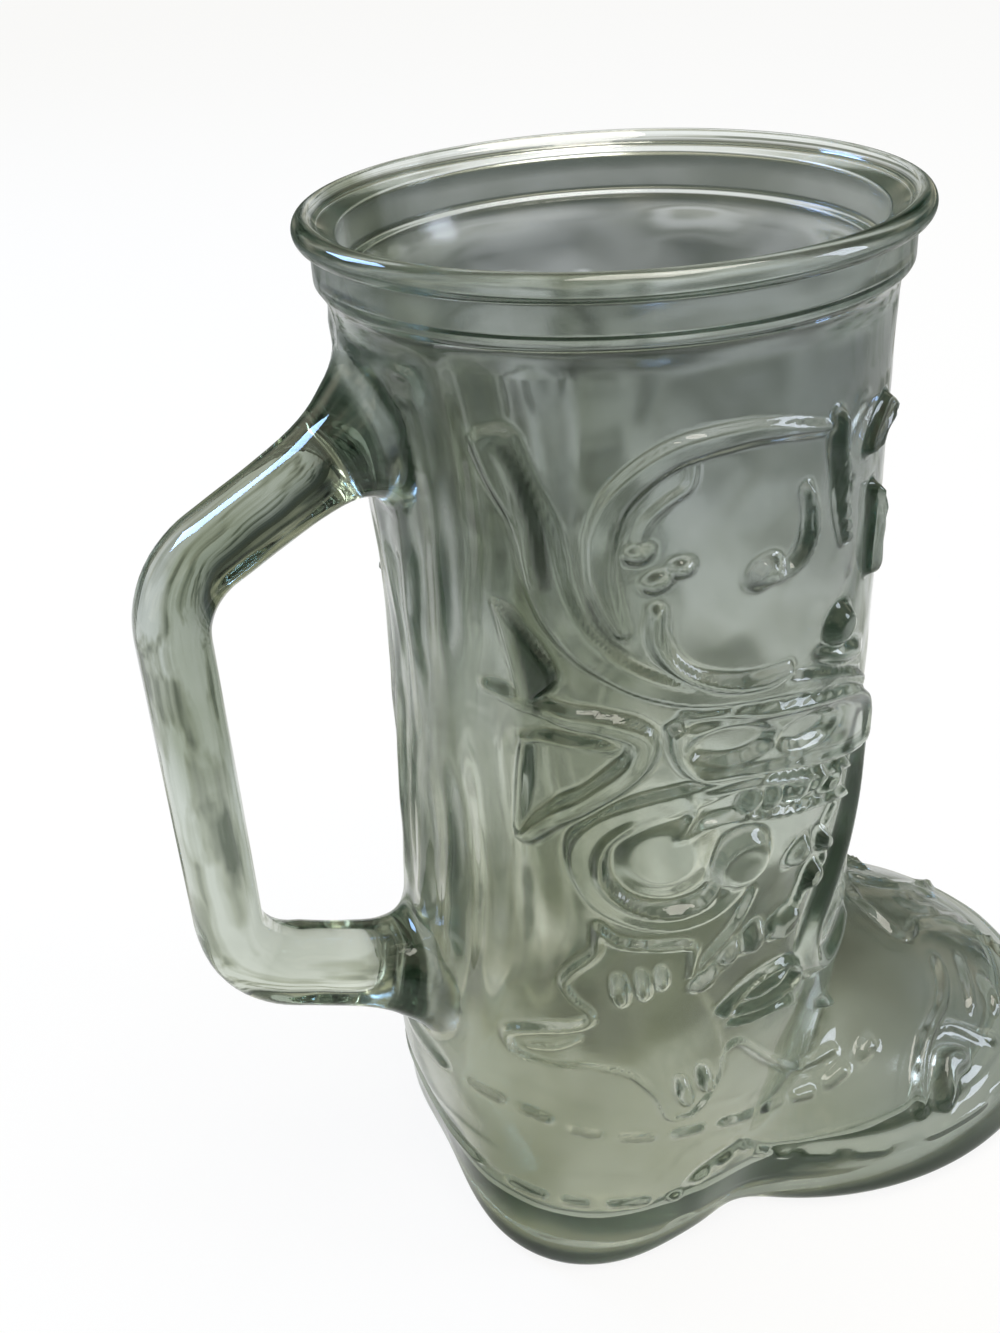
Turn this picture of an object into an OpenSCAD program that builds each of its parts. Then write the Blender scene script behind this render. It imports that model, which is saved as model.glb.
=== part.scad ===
// Beer boot glass: a thick pressed glass mug in the form of a western riding boot.
// The glass stands on the floor plane at zero, the toe points along +X, the handle along -X,
// and the origin lies on the floor under the middle of the whole glass.

/* [Overall] */
// Height of the glass from the floor to the top of the mouth bead
height = 156; // [130:1:190]
// Thickness of the glass wall of the leg and the foot
wall = 3.8; // [2.8:0.1:4.6]
// Thickness of the glass sole under the cavity
sole_t = 7; // [5:0.5:9]

/* [Mouth] */
// Outer diameter of the rounded bead round the mouth
mouth_d = 80; // [70:1:90]
// How far the bead stands out past the collar band
bead_proud = 2; // [1:0.1:3]
// Height of the bead
bead_h = 3.3; // [2.6:0.1:4.4]
// Thickness of the glass at the bead, from its outside to the mouth opening
bead_t = 5.4; // [4.6:0.1:6.5]
// How far the collar band stands out past the leg
collar_proud = 1.7; // [1:0.1:2.5]
// Height of the collar band, with its sloping shoulder
collar_h = 8.2; // [6.5:0.1:10]

/* [Foot] */
// Reach of the toe in front of the middle of the mouth
toe_reach = 80; // [72:1:90]
// Width of the sole at the ball of the foot
ball_w = 80.6; // [70:0.2:88]
// Height of the instep where the foot runs into the leg
vamp_h = 28; // [24:0.5:34]
// Radius of the hollow where the instep runs into the leg
instep_r = 7; // [4:0.5:10]
// How far the edge of the sole stands out past the upper
welt_proud = 0.6; // [0.3:0.1:1]

/* [Handle] */
// Reach of the handle's grip behind the middle of the mouth, to the middle of the bar
grip_reach = 63.5; // [58:0.5:70]
// Thickness of the grip, from its outside to the finger gap
grip_t = 9.6; // [8:0.1:12]
// Width of the grip across the palm
grip_w = 12; // [10:0.1:15]
// How far below the collar the upper arm meets the leg
root_drop = 13.5; // [11:0.5:20]
// How far the upper arm falls from the leg to the grip's corner
arm_fall = 15; // [10:0.5:20]
// Height at which the lower arm meets the heel
root_low_z = 43; // [38:1:48]
// How far the lower arm rises from the heel to the grip's corner
arm_rise = 11; // [6:0.5:16]
// Bend of the handle's corners, along the middle of the bar
corner_r = 13; // [9:0.5:16]

/* [Ornament] */
// Height of the scrolls, straps and tabs above the wall
relief = 2.2; // [1.4:0.1:2.8]
// Width of a scroll's raised band
band_w = 3.2; // [2.4:0.1:4]
// Width of a thin raised line
line_w = 1.8; // [1.2:0.1:2.4]
// Height of the stitches above the wall
stitch_t = 0.9; // [0.5:0.1:1.4]
// Length of one stitch
stitch_l = 6; // [4:0.2:7]
// Width of one stitch
stitch_w = 1.7; // [1.2:0.1:2.2]

/* [Hidden] */

// Colours of the glass, clearest at the thin leg and greenest at the thick sole
glass_clear = [0.78, 0.83, 0.80];
glass_mid = [0.70, 0.76, 0.71];
glass_deep = [0.58, 0.66, 0.60];

// The leg's radius under the collar follows from the mouth
collar_r = mouth_d / 2 - bead_proud;
leg_r = collar_r - collar_proud;
mouth_r = mouth_d / 2 - bead_t;
leg_top_z = height - bead_h - collar_h;
root_top_z = leg_top_z - root_drop;
grip_top_z = root_top_z - arm_fall;
grip_low_z = root_low_z + arm_rise;
ankle_z = vamp_h + 3 * instep_r;

// The boot is worked out round the middle of its mouth, which stands this far behind the origin
middle_x = (toe_reach + welt_proud - grip_reach - grip_t / 2) / 2;

// Stations of the leg from the floor up: height as a share of the whole height, then the reach
// of the back, the reach of the front and the half width as shares of the leg's top radius
station_z_shares = [0, 0.076, 0.153, 0.255, 0.35, 0.446, 0.541, 0.637, 0.752, 0.86, 0.92, 1];
back_shares = [0.942, 0.98, 1.05, 1.012, 0.97, 0.942, 0.92, 0.909, 0.934, 0.975, 1, 1];
front_shares = [0.55, 0.716, 0.882, 0.975, 0.964, 0.953, 0.959, 0.964, 0.972, 0.989, 1, 1];
side_shares = [0.885, 0.922, 0.935, 0.948, 0.964, 0.981, 0.997, 1.008, 1.011, 1.006, 1, 1];
// How far the heel's two back corners stand out past its round, as shares of the reach there
heel_square_shares = [0.165, 0.11, 0.03, 0, 0, 0, 0, 0, 0, 0, 0, 0];

// The foot's outline is an ellipse from inside the heel to the toe
foot_back_x = leg_r * 0.275;
instep_x = leg_r * 0.8;
vamp_side_power = 2;
vamp_side_root = 0.7;
vamp_toe_power = 1.9;
vamp_toe_root = 0.72;
// How fast the foot falls away above the instep
instep_fade = 1.5;

// Points round each ring, drawn closer together towards the toe
ring_n = 72;
toe_crowd = 26;

// Heights of the rings, the foot's as shares of the height of the instep above the sole
leg_rings = 9;
ankle_rings = 4;
vamp_ring_shares = [1, 0.985, 0.95, 0.89, 0.8, 0.68, 0.54, 0.38, 0.2, 0];

function last(v) = len(v) - 1;
function span_of(x, xs, i = 0) = i >= len(xs) - 2 || x < xs[i + 1] ? i : span_of(x, xs, i + 1);
function slope_at(xs, ys, i) =
    let (a = max(i - 1, 0), b = min(i + 1, last(xs))) (ys[b] - ys[a]) / (xs[b] - xs[a]);

// A smooth curve through the stations xs, ys
function smooth(x, xs, ys) =
    let (i = span_of(x, xs), d = xs[i + 1] - xs[i], t = (x - xs[i]) / d,
        m0 = slope_at(xs, ys, i) * d, m1 = slope_at(xs, ys, i + 1) * d)
    (2 * t ^ 3 - 3 * t ^ 2 + 1) * ys[i] + (t ^ 3 - 2 * t ^ 2 + t) * m0
        + (3 * t ^ 2 - 2 * t ^ 3) * ys[i + 1] + (t ^ 3 - t ^ 2) * m1;

// Distance from the axis to an ellipse that reaches from back to front, in the direction a
function reach(a, back, front, side) =
    let (c = (front - back) / 2, rx = (front + back) / 2,
        p = (cos(a) / rx) ^ 2 + (sin(a) / side) ^ 2, q = c * cos(a) / rx ^ 2,
        s = (c / rx) ^ 2 - 1)
    (q + sqrt(q * q - p * s)) / p;

// The boot's skin: its radius in the direction a at height z, the whole form drawn in by inset
function heel_square(a, s) =
    cos(a) < 0 ? 1 + smooth(s, station_z_shares, heel_square_shares) * sin(2 * a) ^ 2 : 1;
function leg_reach(a, z, inset) =
    let (s = z / height)
    heel_square(a, s) * reach(a, leg_r * smooth(s, station_z_shares, back_shares) - inset,
        leg_r * smooth(s, station_z_shares, front_shares) - inset,
        leg_r * smooth(s, station_z_shares, side_shares) - inset);
function foot_reach(a, z, inset) =
    let (top = vamp_h - inset, s = min(z / top, 1),
        side = (ball_w / 2 - inset) * (1 - s ^ vamp_side_power) ^ vamp_side_root,
        front = instep_x + (toe_reach - inset - instep_x) * (1 - s ^ vamp_toe_power) ^ vamp_toe_root)
    reach(a, foot_back_x, front, max(side, instep_r)) - instep_fade * max(z - top, 0);
function skin(a, z, inset = 0) =
    let (leg = leg_reach(a, z, inset), foot = foot_reach(a, z, inset),
        near = max(instep_r - abs(leg - foot), 0))
    max(leg, foot) + near * near / (4 * instep_r);

// One ring of the skin at height z
function ring_angle(k) = let (u = 360 * k / ring_n) u - toe_crowd * sin(u);
function ring(z, inset = 0) =
    [for (k = [0 : ring_n - 1]) let (a = ring_angle(k), r = skin(a, z, inset))
        [r * cos(a), r * sin(a), z]];

// Heights of the rings down the leg, down the ankle and down the foot
function leg_zs() = [for (i = [0 : leg_rings]) leg_top_z + (ankle_z - leg_top_z) * i / leg_rings];
function foot_zs(inset) =
    let (top = vamp_h - inset)
    concat([for (i = [0 : ankle_rings - 1]) ankle_z + (top - ankle_z) * i / ankle_rings],
        [for (s = vamp_ring_shares) sole_t + (top - sole_t) * s]);

// Closed solids from rings: a tube whose last ring joins its first, or a loft with flat ends
function quads(n, rows) =
    [for (j = rows) for (k = [0 : n - 1]) let (a = j[0] * n + k, b = j[0] * n + (k + 1) % n,
        c = j[1] * n + (k + 1) % n, d = j[1] * n + k) each [[a, b, c], [a, c, d]]];
module tube(rings) {
    n = len(rings[0]);
    m = len(rings);
    polyhedron([for (r = rings) each r], quads(n, [for (j = [0 : m - 1]) [j, (j + 1) % m]]));
}
module loft(rings) {
    n = len(rings[0]);
    m = len(rings);
    polyhedron([for (r = rings) each r], concat(quads(n, [for (j = [0 : m - 2]) [j, j + 1]]),
        [[for (k = [n - 1 : -1 : 0]) k]], [[for (k = [0 : n - 1]) (m - 1) * n + k]]));
}

// The outer form between two heights, and a layer of even thickness that lies on it there
all_zs = concat(leg_zs(), [for (i = [1 : len(foot_zs(0)) - 1]) foot_zs(0)[i]]);
function body_zs(low, high) =
    [for (i = [0 : last(all_zs)]) if (all_zs[min(i + 1, last(all_zs))] < high
        && all_zs[max(i - 1, 0)] > low) all_zs[i]];
module body_form(low, high) {
    loft([for (z = body_zs(low, high)) ring(z)]);
}
module layer(t, low, high) {
    zs = body_zs(low, high);
    tube(concat([for (z = zs) ring(z, -t)], [for (i = [last(zs) : -1 : 0]) ring(zs[i])]));
}

// The mouth's bead: a round on the outside, from whose crest the lip slopes in to the opening
bead_round = bead_h / 2;
lip_round = bead_h * 0.16;
module mouth_rim() {
    bead = [mouth_d / 2 - bead_round, height - bead_round];
    lip = [mouth_r + lip_round, height - bead_h + lip_round];
    slope = bead - lip;
    tilt = atan2(slope[1], slope[0]) + acos((lip_round - bead_round) / norm(slope));
    across = [cos(tilt), sin(tilt)];
    color(glass_mid) rotate_extrude($fn = 120) {
        translate(bead) circle(bead_round, $fn = 48);
        translate(lip) circle(lip_round, $fn = 32);
        polygon([[mouth_r, lip[1]], [mouth_r, height - bead_h], [bead[0], height - bead_h],
            bead + bead_round * across, lip + lip_round * across]);
    }
}

// The collar band under the bead, with a shoulder down to the leg's radius and a ledge inside
shoulder_share = 0.41;
ledge_w = collar_proud / 2;
module collar_band() {
    top = height - bead_h;
    shoulder = leg_top_z + collar_h * shoulder_share;
    color(glass_clear) rotate_extrude($fn = 120)
        polygon([[mouth_r, top], [mouth_r - ledge_w / 3, shoulder + ledge_w / 2],
            [mouth_r - ledge_w * 4 / 3, shoulder], [leg_r - wall, leg_top_z], [leg_r, leg_top_z],
            [leg_r + collar_proud * shoulder_share, shoulder - collar_h * shoulder_share / 3],
            [collar_r, shoulder], [collar_r, top]]);
}

module leg_wall() {
    zs = leg_zs();
    color(glass_clear) tube(concat([for (z = zs) ring(z)],
        [for (i = [last(zs) : -1 : 0]) ring(zs[i], wall)]));
}

module foot_shell() {
    zs = foot_zs(0);
    inner = foot_zs(wall);
    color(glass_mid) tube(concat([for (z = zs) ring(z)],
        [for (i = [last(inner) : -1 : 0]) ring(inner[i], wall)]));
}

// The solid sole, with a rounded edge, on a flat bearing rim round a shallow hollow
edge_r = sole_t * 0.3;
bearing_w = sole_t * 0.9;
hollow_h = sole_t * 0.12;
function outline(z, inset) = [for (p = ring(z, inset)) [p[0], p[1]]];
module sole_plate() {
    step = edge_r * 0.6;
    color(glass_deep) {
        loft([ring(sole_t), ring(sole_t * 0.92, -welt_proud), ring(edge_r, -welt_proud),
            ring(hollow_h, step)]);
        linear_extrude(hollow_h) difference() {
            polygon(outline(hollow_h, step));
            polygon(outline(hollow_h, step + bearing_w));
        }
    }
}

// The handle's bar: its path lies in the middle plane, and its ends flare into the wall
function corner(p, q, s, steps = 6) =
    let (u = (p - q) / norm(p - q), w = (s - q) / norm(s - q),
        d = corner_r * tan((180 - acos(u * w)) / 2), a = q + u * d, b = q + w * d)
    [for (i = [0 : steps]) let (t = i / steps) (1 - t) ^ 2 * a + 2 * t * (1 - t) * q + t * t * b];
module bar(path, sizes) {
    n = 24;
    round_power = 0.8;
    rings = [for (i = [0 : last(path)])
        let (d = path[min(i + 1, last(path))] - path[max(i - 1, 0)], u = d / norm(d),
            across = [-u[1], u[0]])
        [for (k = [0 : n - 1]) let (a = 360 * k / n,
            ca = sign(cos(a)) * abs(cos(a)) ^ round_power,
            sa = sign(sin(a)) * abs(sin(a)) ^ round_power)
            [path[i][0] + across[0] * ca * sizes[i][0] / 2, sa * sizes[i][1] / 2,
                path[i][1] + across[1] * ca * sizes[i][0] / 2]]];
    loft([for (i = [last(rings) : -1 : 0]) rings[i]]);
}
// Places along an arm from the wall outwards, as shares of the arm, and how much the bar swells
flare_shares = [[0, 1.75], [0.06, 1.6], [0.14, 1.3], [0.24, 1.1], [0.36, 1]];
module handle() {
    top = [-grip_reach, grip_top_z];
    low = [-grip_reach, grip_low_z];
    root_top = [wall / 2 - leg_reach(180, root_top_z, 0), root_top_z];
    root_low = [wall / 2 - leg_reach(180, root_low_z, 0), root_low_z];
    bend_top = corner(root_top, top, low);
    bend_low = corner(top, low, root_low);
    arm_top = [for (f = flare_shares) root_top + (bend_top[0] - root_top) * f[0]];
    arm_low = [for (f = flare_shares) root_low + (bend_low[last(bend_low)] - root_low) * f[0]];
    low_t = grip_t * 1.15;
    color(glass_mid) difference() {
        bar(concat(arm_top, bend_top, bend_low, [for (i = [last(arm_low) : -1 : 0]) arm_low[i]]),
            concat([for (f = flare_shares) [grip_t * f[1], grip_w * f[1]]],
                [for (p = bend_top) [grip_t, grip_w]],
                [for (i = [0 : last(bend_low)]) [grip_t + (low_t - grip_t) * i / last(bend_low), grip_w]],
                [for (i = [last(flare_shares) : -1 : 0])
                    [low_t * flare_shares[i][1], grip_w * flare_shares[i][1]]]));
        body_form(root_low_z - 2 * grip_t, root_top_z + 2 * grip_t);
    }
}

// Ornament is drawn on the side view: x as a share of the leg's radius, z of a height that
// follows the leg's
side_h = leg_top_z * 1.08;
function place(s) = [s[0] * leg_r, s[1] * side_h];
function places(v) = [for (s = v) place(s)];
// A smooth path through a few places
function curve(v, steps = 4) =
    [for (i = [0 : last(v) - 1]) for (k = [0 : steps - 1])
        let (a = v[max(i - 1, 0)], b = v[i], c = v[i + 1], d = v[min(i + 2, last(v))], t = k / steps)
        b + (c - a) / 2 * t + (a - 5 / 2 * b + 2 * c - d / 2) * t ^ 2
            + (3 * b - 3 * c + d - a) / 2 * t ^ 3, v[last(v)]];
// A spiral path: from angle a0 to a1 with its radius going from r0 to r1
function spiral(c, r0, r1, a0, a1, steps = 16) =
    [for (i = [0 : steps]) let (t = i / steps, r = r0 + (r1 - r0) * t, a = a0 + (a1 - a0) * t)
        c + r * [cos(a), sin(a)]];
// A band of width w along a path, with round ends
function band_side(path, w) =
    [for (i = [0 : last(path)]) let (d = path[min(i + 1, last(path))] - path[max(i - 1, 0)])
        [-d[1], d[0]] / norm(d) * w / 2];
function round_end(p, s) =
    [for (a = [-45, -90, -135]) p + [s[0] * cos(a) - s[1] * sin(a), s[0] * sin(a) + s[1] * cos(a)]];
module band(path, w) {
    side = band_side(path, w);
    e = last(path);
    polygon(concat([for (i = [0 : e]) path[i] + side[i]], round_end(path[e], side[e]),
        [for (i = [e : -1 : 0]) path[i] - side[i]], round_end(path[0], -side[0])));
}
module oval(c, long, high, turn = 0) {
    oval_n = 14;
    translate(c) rotate(turn)
        polygon([for (i = [0 : oval_n - 1]) let (a = 360 * i / oval_n)
            [long / 2 * cos(a), high / 2 * sin(a)]]);
}
// Raise a side-view drawing that lies between two heights, on the right or the left of the boot
module raised(t, side, low, high) {
    intersection() {
        layer(t, low * side_h, high * side_h);
        rotate([90, 0, 0]) translate([0, 0, side > 0 ? 0 : -ball_w]) linear_extrude(ball_w) children();
    }
}

// The broad S band, the big C scroll that grows from it, the curl that ends it and three drops
s_band_shares = [[-0.72, 0.87], [-0.67, 0.83], [-0.62, 0.79], [-0.57, 0.75], [-0.49, 0.715],
    [-0.35, 0.688], [-0.18, 0.671], [0, 0.662], [0.2, 0.657], [0.4, 0.645], [0.58, 0.615]];
c_band_shares = [[-0.39, 0.712], [-0.47, 0.75], [-0.5, 0.788], [-0.45, 0.824], [-0.37, 0.849],
    [-0.25, 0.868], [-0.08, 0.873], [0.08, 0.866]];
curl_shares = [[0.23, 0.83], [0.23, 0.795], [0.19, 0.766], [0.09, 0.749], [0.02, 0.755]];
drop_shares = [[[0.33, 0.872], [0.32, 0.846], [0.35, 0.808], [0.37, 0.77]],
    [[0.56, 0.872], [0.51, 0.849], [0.48, 0.83]],
    [[0.54, 0.795], [0.53, 0.75], [0.53, 0.712]]];
module scroll(side) {
    color(glass_clear) raised(relief, side, 0.58, 0.9) {
        band(curve(places(s_band_shares), 3), band_w * 1.3);
        band(curve(places(c_band_shares), 3), band_w);
        band(curve(places(curl_shares), 3), band_w * 0.8);
        for (d = drop_shares) band(curve(places(d), 3), line_w * 1.2);
    }
}
module scroll_right() { scroll(1); }
module scroll_left() { scroll(-1); }

// The ankle strap: its pointed tab at the back and its two long slots
tab_shares = [[-0.72, 0.61], [-0.56, 0.63], [-0.42, 0.632], [-0.37, 0.62], [-0.42, 0.595],
    [-0.54, 0.565], [-0.7, 0.53]];
tab_edge_shares = [[-0.68, 0.61], [-0.7, 0.57], [-0.735, 0.505]];
strap_shares = [[-0.26, 0.6], [-0.1, 0.59], [0.15, 0.58], [0.38, 0.57], [0.56, 0.56]];
slot_shares = [[-0.08, 0.615], [0.26, 0.606]];
module strap(side) {
    color(glass_clear) raised(relief, side, 0.48, 0.67) {
        band(curve(places(tab_shares), 3), band_w * 0.9);
        band(curve(places(tab_edge_shares), 3), line_w);
        band(curve(places(strap_shares), 3), band_w * 0.8);
        for (s = slot_shares) difference() {
            oval(place(s), leg_r * 0.33, side_h * 0.034, -3);
            oval(place(s), leg_r * 0.22, side_h * 0.012, -3);
        }
    }
}
module strap_right() { strap(1); }
module strap_left() { strap(-1); }

// The spiral with its ball, the line down the ankle and the leaves between them
spiral_lead_shares = [[0.35, 0.525], [0.1, 0.55], [-0.1, 0.56], [-0.24, 0.56]];
spiral_c_share = [-0.33, 0.5];
// Where the spiral starts and ends round its ball, in degrees
spiral_turn = [75, 380];
ankle_shares = [[0.6, 0.535], [0.6, 0.48], [0.53, 0.43], [0.4, 0.39], [0.33, 0.34], [0.37, 0.3],
    [0.5, 0.275]];
leaf_shares = [[0.36, 0.49, 40], [0.26, 0.447, 55], [0.12, 0.41, 40], [-0.02, 0.37, 50],
    [0.1, 0.325, 20], [0.14, 0.292, 10]];
module swirl(side) {
    c = place(spiral_c_share);
    r = leg_r * 0.25;
    color(glass_clear) raised(relief, side, 0.25, 0.6) {
        band(concat(curve(places(spiral_lead_shares), 3),
            spiral(c, r, r * 0.7, spiral_turn[0], spiral_turn[1], 20)), band_w * 0.8);
        translate(c) circle(r * 0.42, $fn = 24);
        band(curve(places(ankle_shares), 3), line_w);
        for (s = leaf_shares) oval(place(s), leg_r * 0.28, side_h * 0.018, s[2]);
    }
}
module spiral_right() { swirl(1); }
module spiral_left() { swirl(-1); }

// The spur plate with its notched edge, and the two pairs of small ovals on it
plate_shares = [[-0.54, 0.425], [-0.4, 0.407], [-0.22, 0.412], [-0.21, 0.36], [-0.12, 0.31],
    [-0.03, 0.26], [-0.06, 0.215], [-0.18, 0.197], [-0.3, 0.2], [-0.33, 0.23], [-0.43, 0.262],
    [-0.6, 0.266], [-0.82, 0.268], [-0.84, 0.29], [-0.6, 0.305], [-0.54, 0.325],
    [-0.64, 0.36], [-0.56, 0.385]];
plate_oval_shares = [[-0.46, 0.36, 100], [-0.38, 0.363, 100], [-0.24, 0.232, 110], [-0.15, 0.24, 110]];
module spur_plate(side) {
    color(glass_mid) raised(relief * 0.55, side, 0.18, 0.44) polygon(places(plate_shares));
    color(glass_mid) raised(relief, side, 0.2, 0.4)
        for (s = plate_oval_shares) oval(place(s), side_h * 0.04, leg_r * 0.055, s[2]);
}
module spur_plate_right() { spur_plate(1); }
module spur_plate_left() { spur_plate(-1); }

// Stitches round the boot: a row under the collar and two rows round the heel
module stitch(a, z) {
    e = (stitch_l - stitch_w) / 2;
    rotate([0, 0, a]) translate([leg_r / 2, 0, z]) rotate([90, 0, 90]) linear_extrude(leg_r)
        band([[-e, 0], [e, 0]], stitch_w);
}
collar_stitch_n = 22;
collar_stitch_z = leg_top_z - stitch_w * 2;
module collar_stitches() {
    step = 360 / collar_stitch_n;
    color(glass_clear) intersection() {
        layer(stitch_t, collar_stitch_z - stitch_w, collar_stitch_z + stitch_w);
        for (i = [2 : collar_stitch_n - 2]) stitch(180 + i * step, collar_stitch_z);
    }
}
heel_stitch_n = 12;
heel_row_shares = [0.178, 0.09];
module heel_stitches() {
    step = 180 / heel_stitch_n;
    color(glass_mid) for (s = heel_row_shares) intersection() {
        layer(stitch_t, s * side_h - stitch_w, s * side_h + stitch_w);
        for (i = [1 : heel_stitch_n - 1]) stitch(90 + i * step, s * side_h);
    }
}

// The trim on the vamp, drawn from above: a scalloped wing line and a comma on each side
wing_shares = [[0.45, -0.18], [0.52, -0.3], [0.58, -0.22], [0.68, -0.18], [0.8, -0.26], [0.88, -0.38]];
cap_shares = [[0.6, -0.45], [0.55, -0.58], [0.5, -0.7], [0.46, -0.84]];
comma_shares = [[0.6, -0.7], [0.56, -0.8], [0.5, -0.82]];
module toe_trim() {
    function above(v) = [for (s = v) [s[0] * toe_reach, s[1] * ball_w / 2]];
    color(glass_mid) intersection() {
        layer(relief * 0.6, 0, vamp_h);
        for (m = [0, 1]) mirror([0, m, 0]) linear_extrude(vamp_h + relief) {
            for (v = [wing_shares, cap_shares]) band(curve(above(v), 3), line_w);
            band(curve(above(comma_shares), 3), line_w * 1.3);
        }
    }
}

module centred() {
    translate([-middle_x, 0, 0]) children();
}

centred() mouth_rim();
centred() collar_band();
centred() leg_wall();
centred() foot_shell();
centred() sole_plate();
centred() handle();
centred() collar_stitches();
centred() scroll_right();
centred() scroll_left();
centred() strap_right();
centred() strap_left();
centred() spiral_right();
centred() spiral_left();
centred() spur_plate_right();
centred() spur_plate_left();
centred() heel_stitches();
centred() toe_trim();
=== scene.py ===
import math
import bmesh
import bpy
import numpy as np
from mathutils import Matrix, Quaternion, Vector


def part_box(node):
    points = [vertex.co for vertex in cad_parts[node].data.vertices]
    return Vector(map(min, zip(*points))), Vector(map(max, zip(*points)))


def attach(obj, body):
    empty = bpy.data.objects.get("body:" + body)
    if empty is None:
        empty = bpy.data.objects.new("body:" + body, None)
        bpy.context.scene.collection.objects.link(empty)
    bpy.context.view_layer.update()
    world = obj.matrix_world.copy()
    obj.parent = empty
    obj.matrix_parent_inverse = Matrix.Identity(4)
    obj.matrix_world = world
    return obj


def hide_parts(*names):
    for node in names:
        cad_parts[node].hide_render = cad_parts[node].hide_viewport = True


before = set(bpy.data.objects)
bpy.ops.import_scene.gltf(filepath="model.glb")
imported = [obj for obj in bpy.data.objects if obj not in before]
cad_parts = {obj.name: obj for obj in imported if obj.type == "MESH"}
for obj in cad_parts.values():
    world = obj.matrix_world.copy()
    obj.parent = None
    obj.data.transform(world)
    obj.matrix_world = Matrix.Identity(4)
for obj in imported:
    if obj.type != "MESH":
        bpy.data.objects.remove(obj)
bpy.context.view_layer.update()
print("frame loaded")

mm = 0.001

# the boot is shaped round the axis of its mouth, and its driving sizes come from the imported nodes
rimLow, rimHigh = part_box("mouth_rim")
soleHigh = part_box("sole_plate")[1]
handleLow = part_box("handle")[0]
mouthX = (rimLow.x + rimHigh.x) / 2 / mm
mouthR = (rimHigh.x - rimLow.x) / 2 / mm
height = rimHigh.z / mm
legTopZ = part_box("leg_wall")[1].z / mm
soleT = soleHigh.z / mm
weltOut = 0.6       # how far the welt stands out past the foot

boot = {
    "wall": 3.8,
    "legR": mouthR - 3.7,           # the rim stands out past the leg
    "toeReach": soleHigh.x / mm - mouthX - weltOut + 0.26,
    "ballHalf": soleHigh.y / mm - weltOut + 0.02,
    "vampH": 28.0,
    "topCurve": (1.9, 0.72), "sideCurve": (2, 0.7),     # powers that round the foot in profile and across
    "instepShare": 0.8, "shankShare": 0.275,            # the foot's start, front and back, of the leg's radius
    "overVamp": 1.5,                # how fast the foot's round draws in above the vamp
    "instepR": 7.0,
    "sideHollow": 5.0, "sideHollowZ": (6, 14),          # more hollow at the sides, coming in over these heights
    "ornamentLow": (7.5, 8.5), "ornamentTop": (1.5, 0.5),       # its ends, over the table and under the collar
    "outerLow": 6.4,                # the plain skin's last row, just over the sole's edge
    "floorR": 4.0, "floorMiddle": 18, "soleMiddle": 20,
    "ripple": (17, 0.06), "innerRipple": (26, 0.26),    # width and depth of the skin's slow unevenness
    "columns": 400, "outerRows": 300, "innerRows": 40,
    "fewerBack": (0.5, 0.5), "fewerFront": (0.35, 0.4),         # share fewer columns, and over what angle
    "bendH": 8, "outerLevels": (260, 60, 2.4), "innerLevels": (120, 30, 2.2),   # heights where skins are taken
}
# beside the seam at the back the mould left long upright waves
backWaves = {
    "rise": 0.45, "round": 27, "sway": 0.9, "swayZ": 9, "lengthZ": 19, "lean": 2,
    "beside": (1.95, 2.35), "over": (34, 44),           # where they come in: angle from the toe, and height
}

# stations up the leg: share of the height, then the reach of back, front and side as shares of the leg's
# radius, and how far the heel's back corners stand out past its round
stationShares = np.array([
    (0, 0.942, 0.550, 0.885, 0.165), (0.076, 0.980, 0.716, 0.922, 0.110), (0.153, 1.050, 0.882, 0.935, 0.030),
    (0.255, 1.012, 0.975, 0.948, 0), (0.350, 0.970, 0.964, 0.964, 0), (0.446, 0.942, 0.953, 0.981, 0),
    (0.541, 0.920, 0.959, 0.997, 0), (0.637, 0.909, 0.964, 1.008, 0), (0.752, 0.934, 0.972, 1.011, 0),
    (0.860, 0.975, 0.989, 1.006, 0), (0.920, 1.000, 1.000, 1.000, 0), (1.000, 1.000, 1.000, 1.000, 0),
])


def hexColour(code):
    # an sRGB hex code as linear light
    values = [int(code[i:i + 2], 16) / 255 for i in (1, 3, 5)]
    return tuple(v / 12.92 if v <= 0.04045 else ((v + 0.055) / 1.055) ** 2.4 for v in values) + (1.0,)


def stationReach(share, column):
    # a smooth curve through the stations
    xs, ys = stationShares[:, 0], stationShares[:, column]
    low = np.maximum(np.arange(len(xs)) - 1, 0)
    high = np.minimum(np.arange(len(xs)) + 1, len(xs) - 1)
    slope = (ys[high] - ys[low]) / (xs[high] - xs[low])
    i = np.clip(np.searchsorted(xs, share, side="right") - 1, 0, len(xs) - 2)
    d = xs[i + 1] - xs[i]
    t = (share - xs[i]) / d
    return ((2 * t**3 - 3 * t**2 + 1) * ys[i] + (t**3 - 2 * t**2 + t) * slope[i] * d
            + (3 * t**2 - 2 * t**3) * ys[i + 1] + (t**3 - t**2) * slope[i + 1] * d)


def ellipseReach(angle, back, front, side):
    # how far it is from the axis to an ellipse, in the direction of angle
    c, rx = (front - back) / 2, (front + back) / 2
    p = (np.cos(angle) / rx) ** 2 + (np.sin(angle) / side) ** 2
    q = c * np.cos(angle) / rx**2
    return (q + np.sqrt(q * q - p * ((c / rx) ** 2 - 1))) / p


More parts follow.
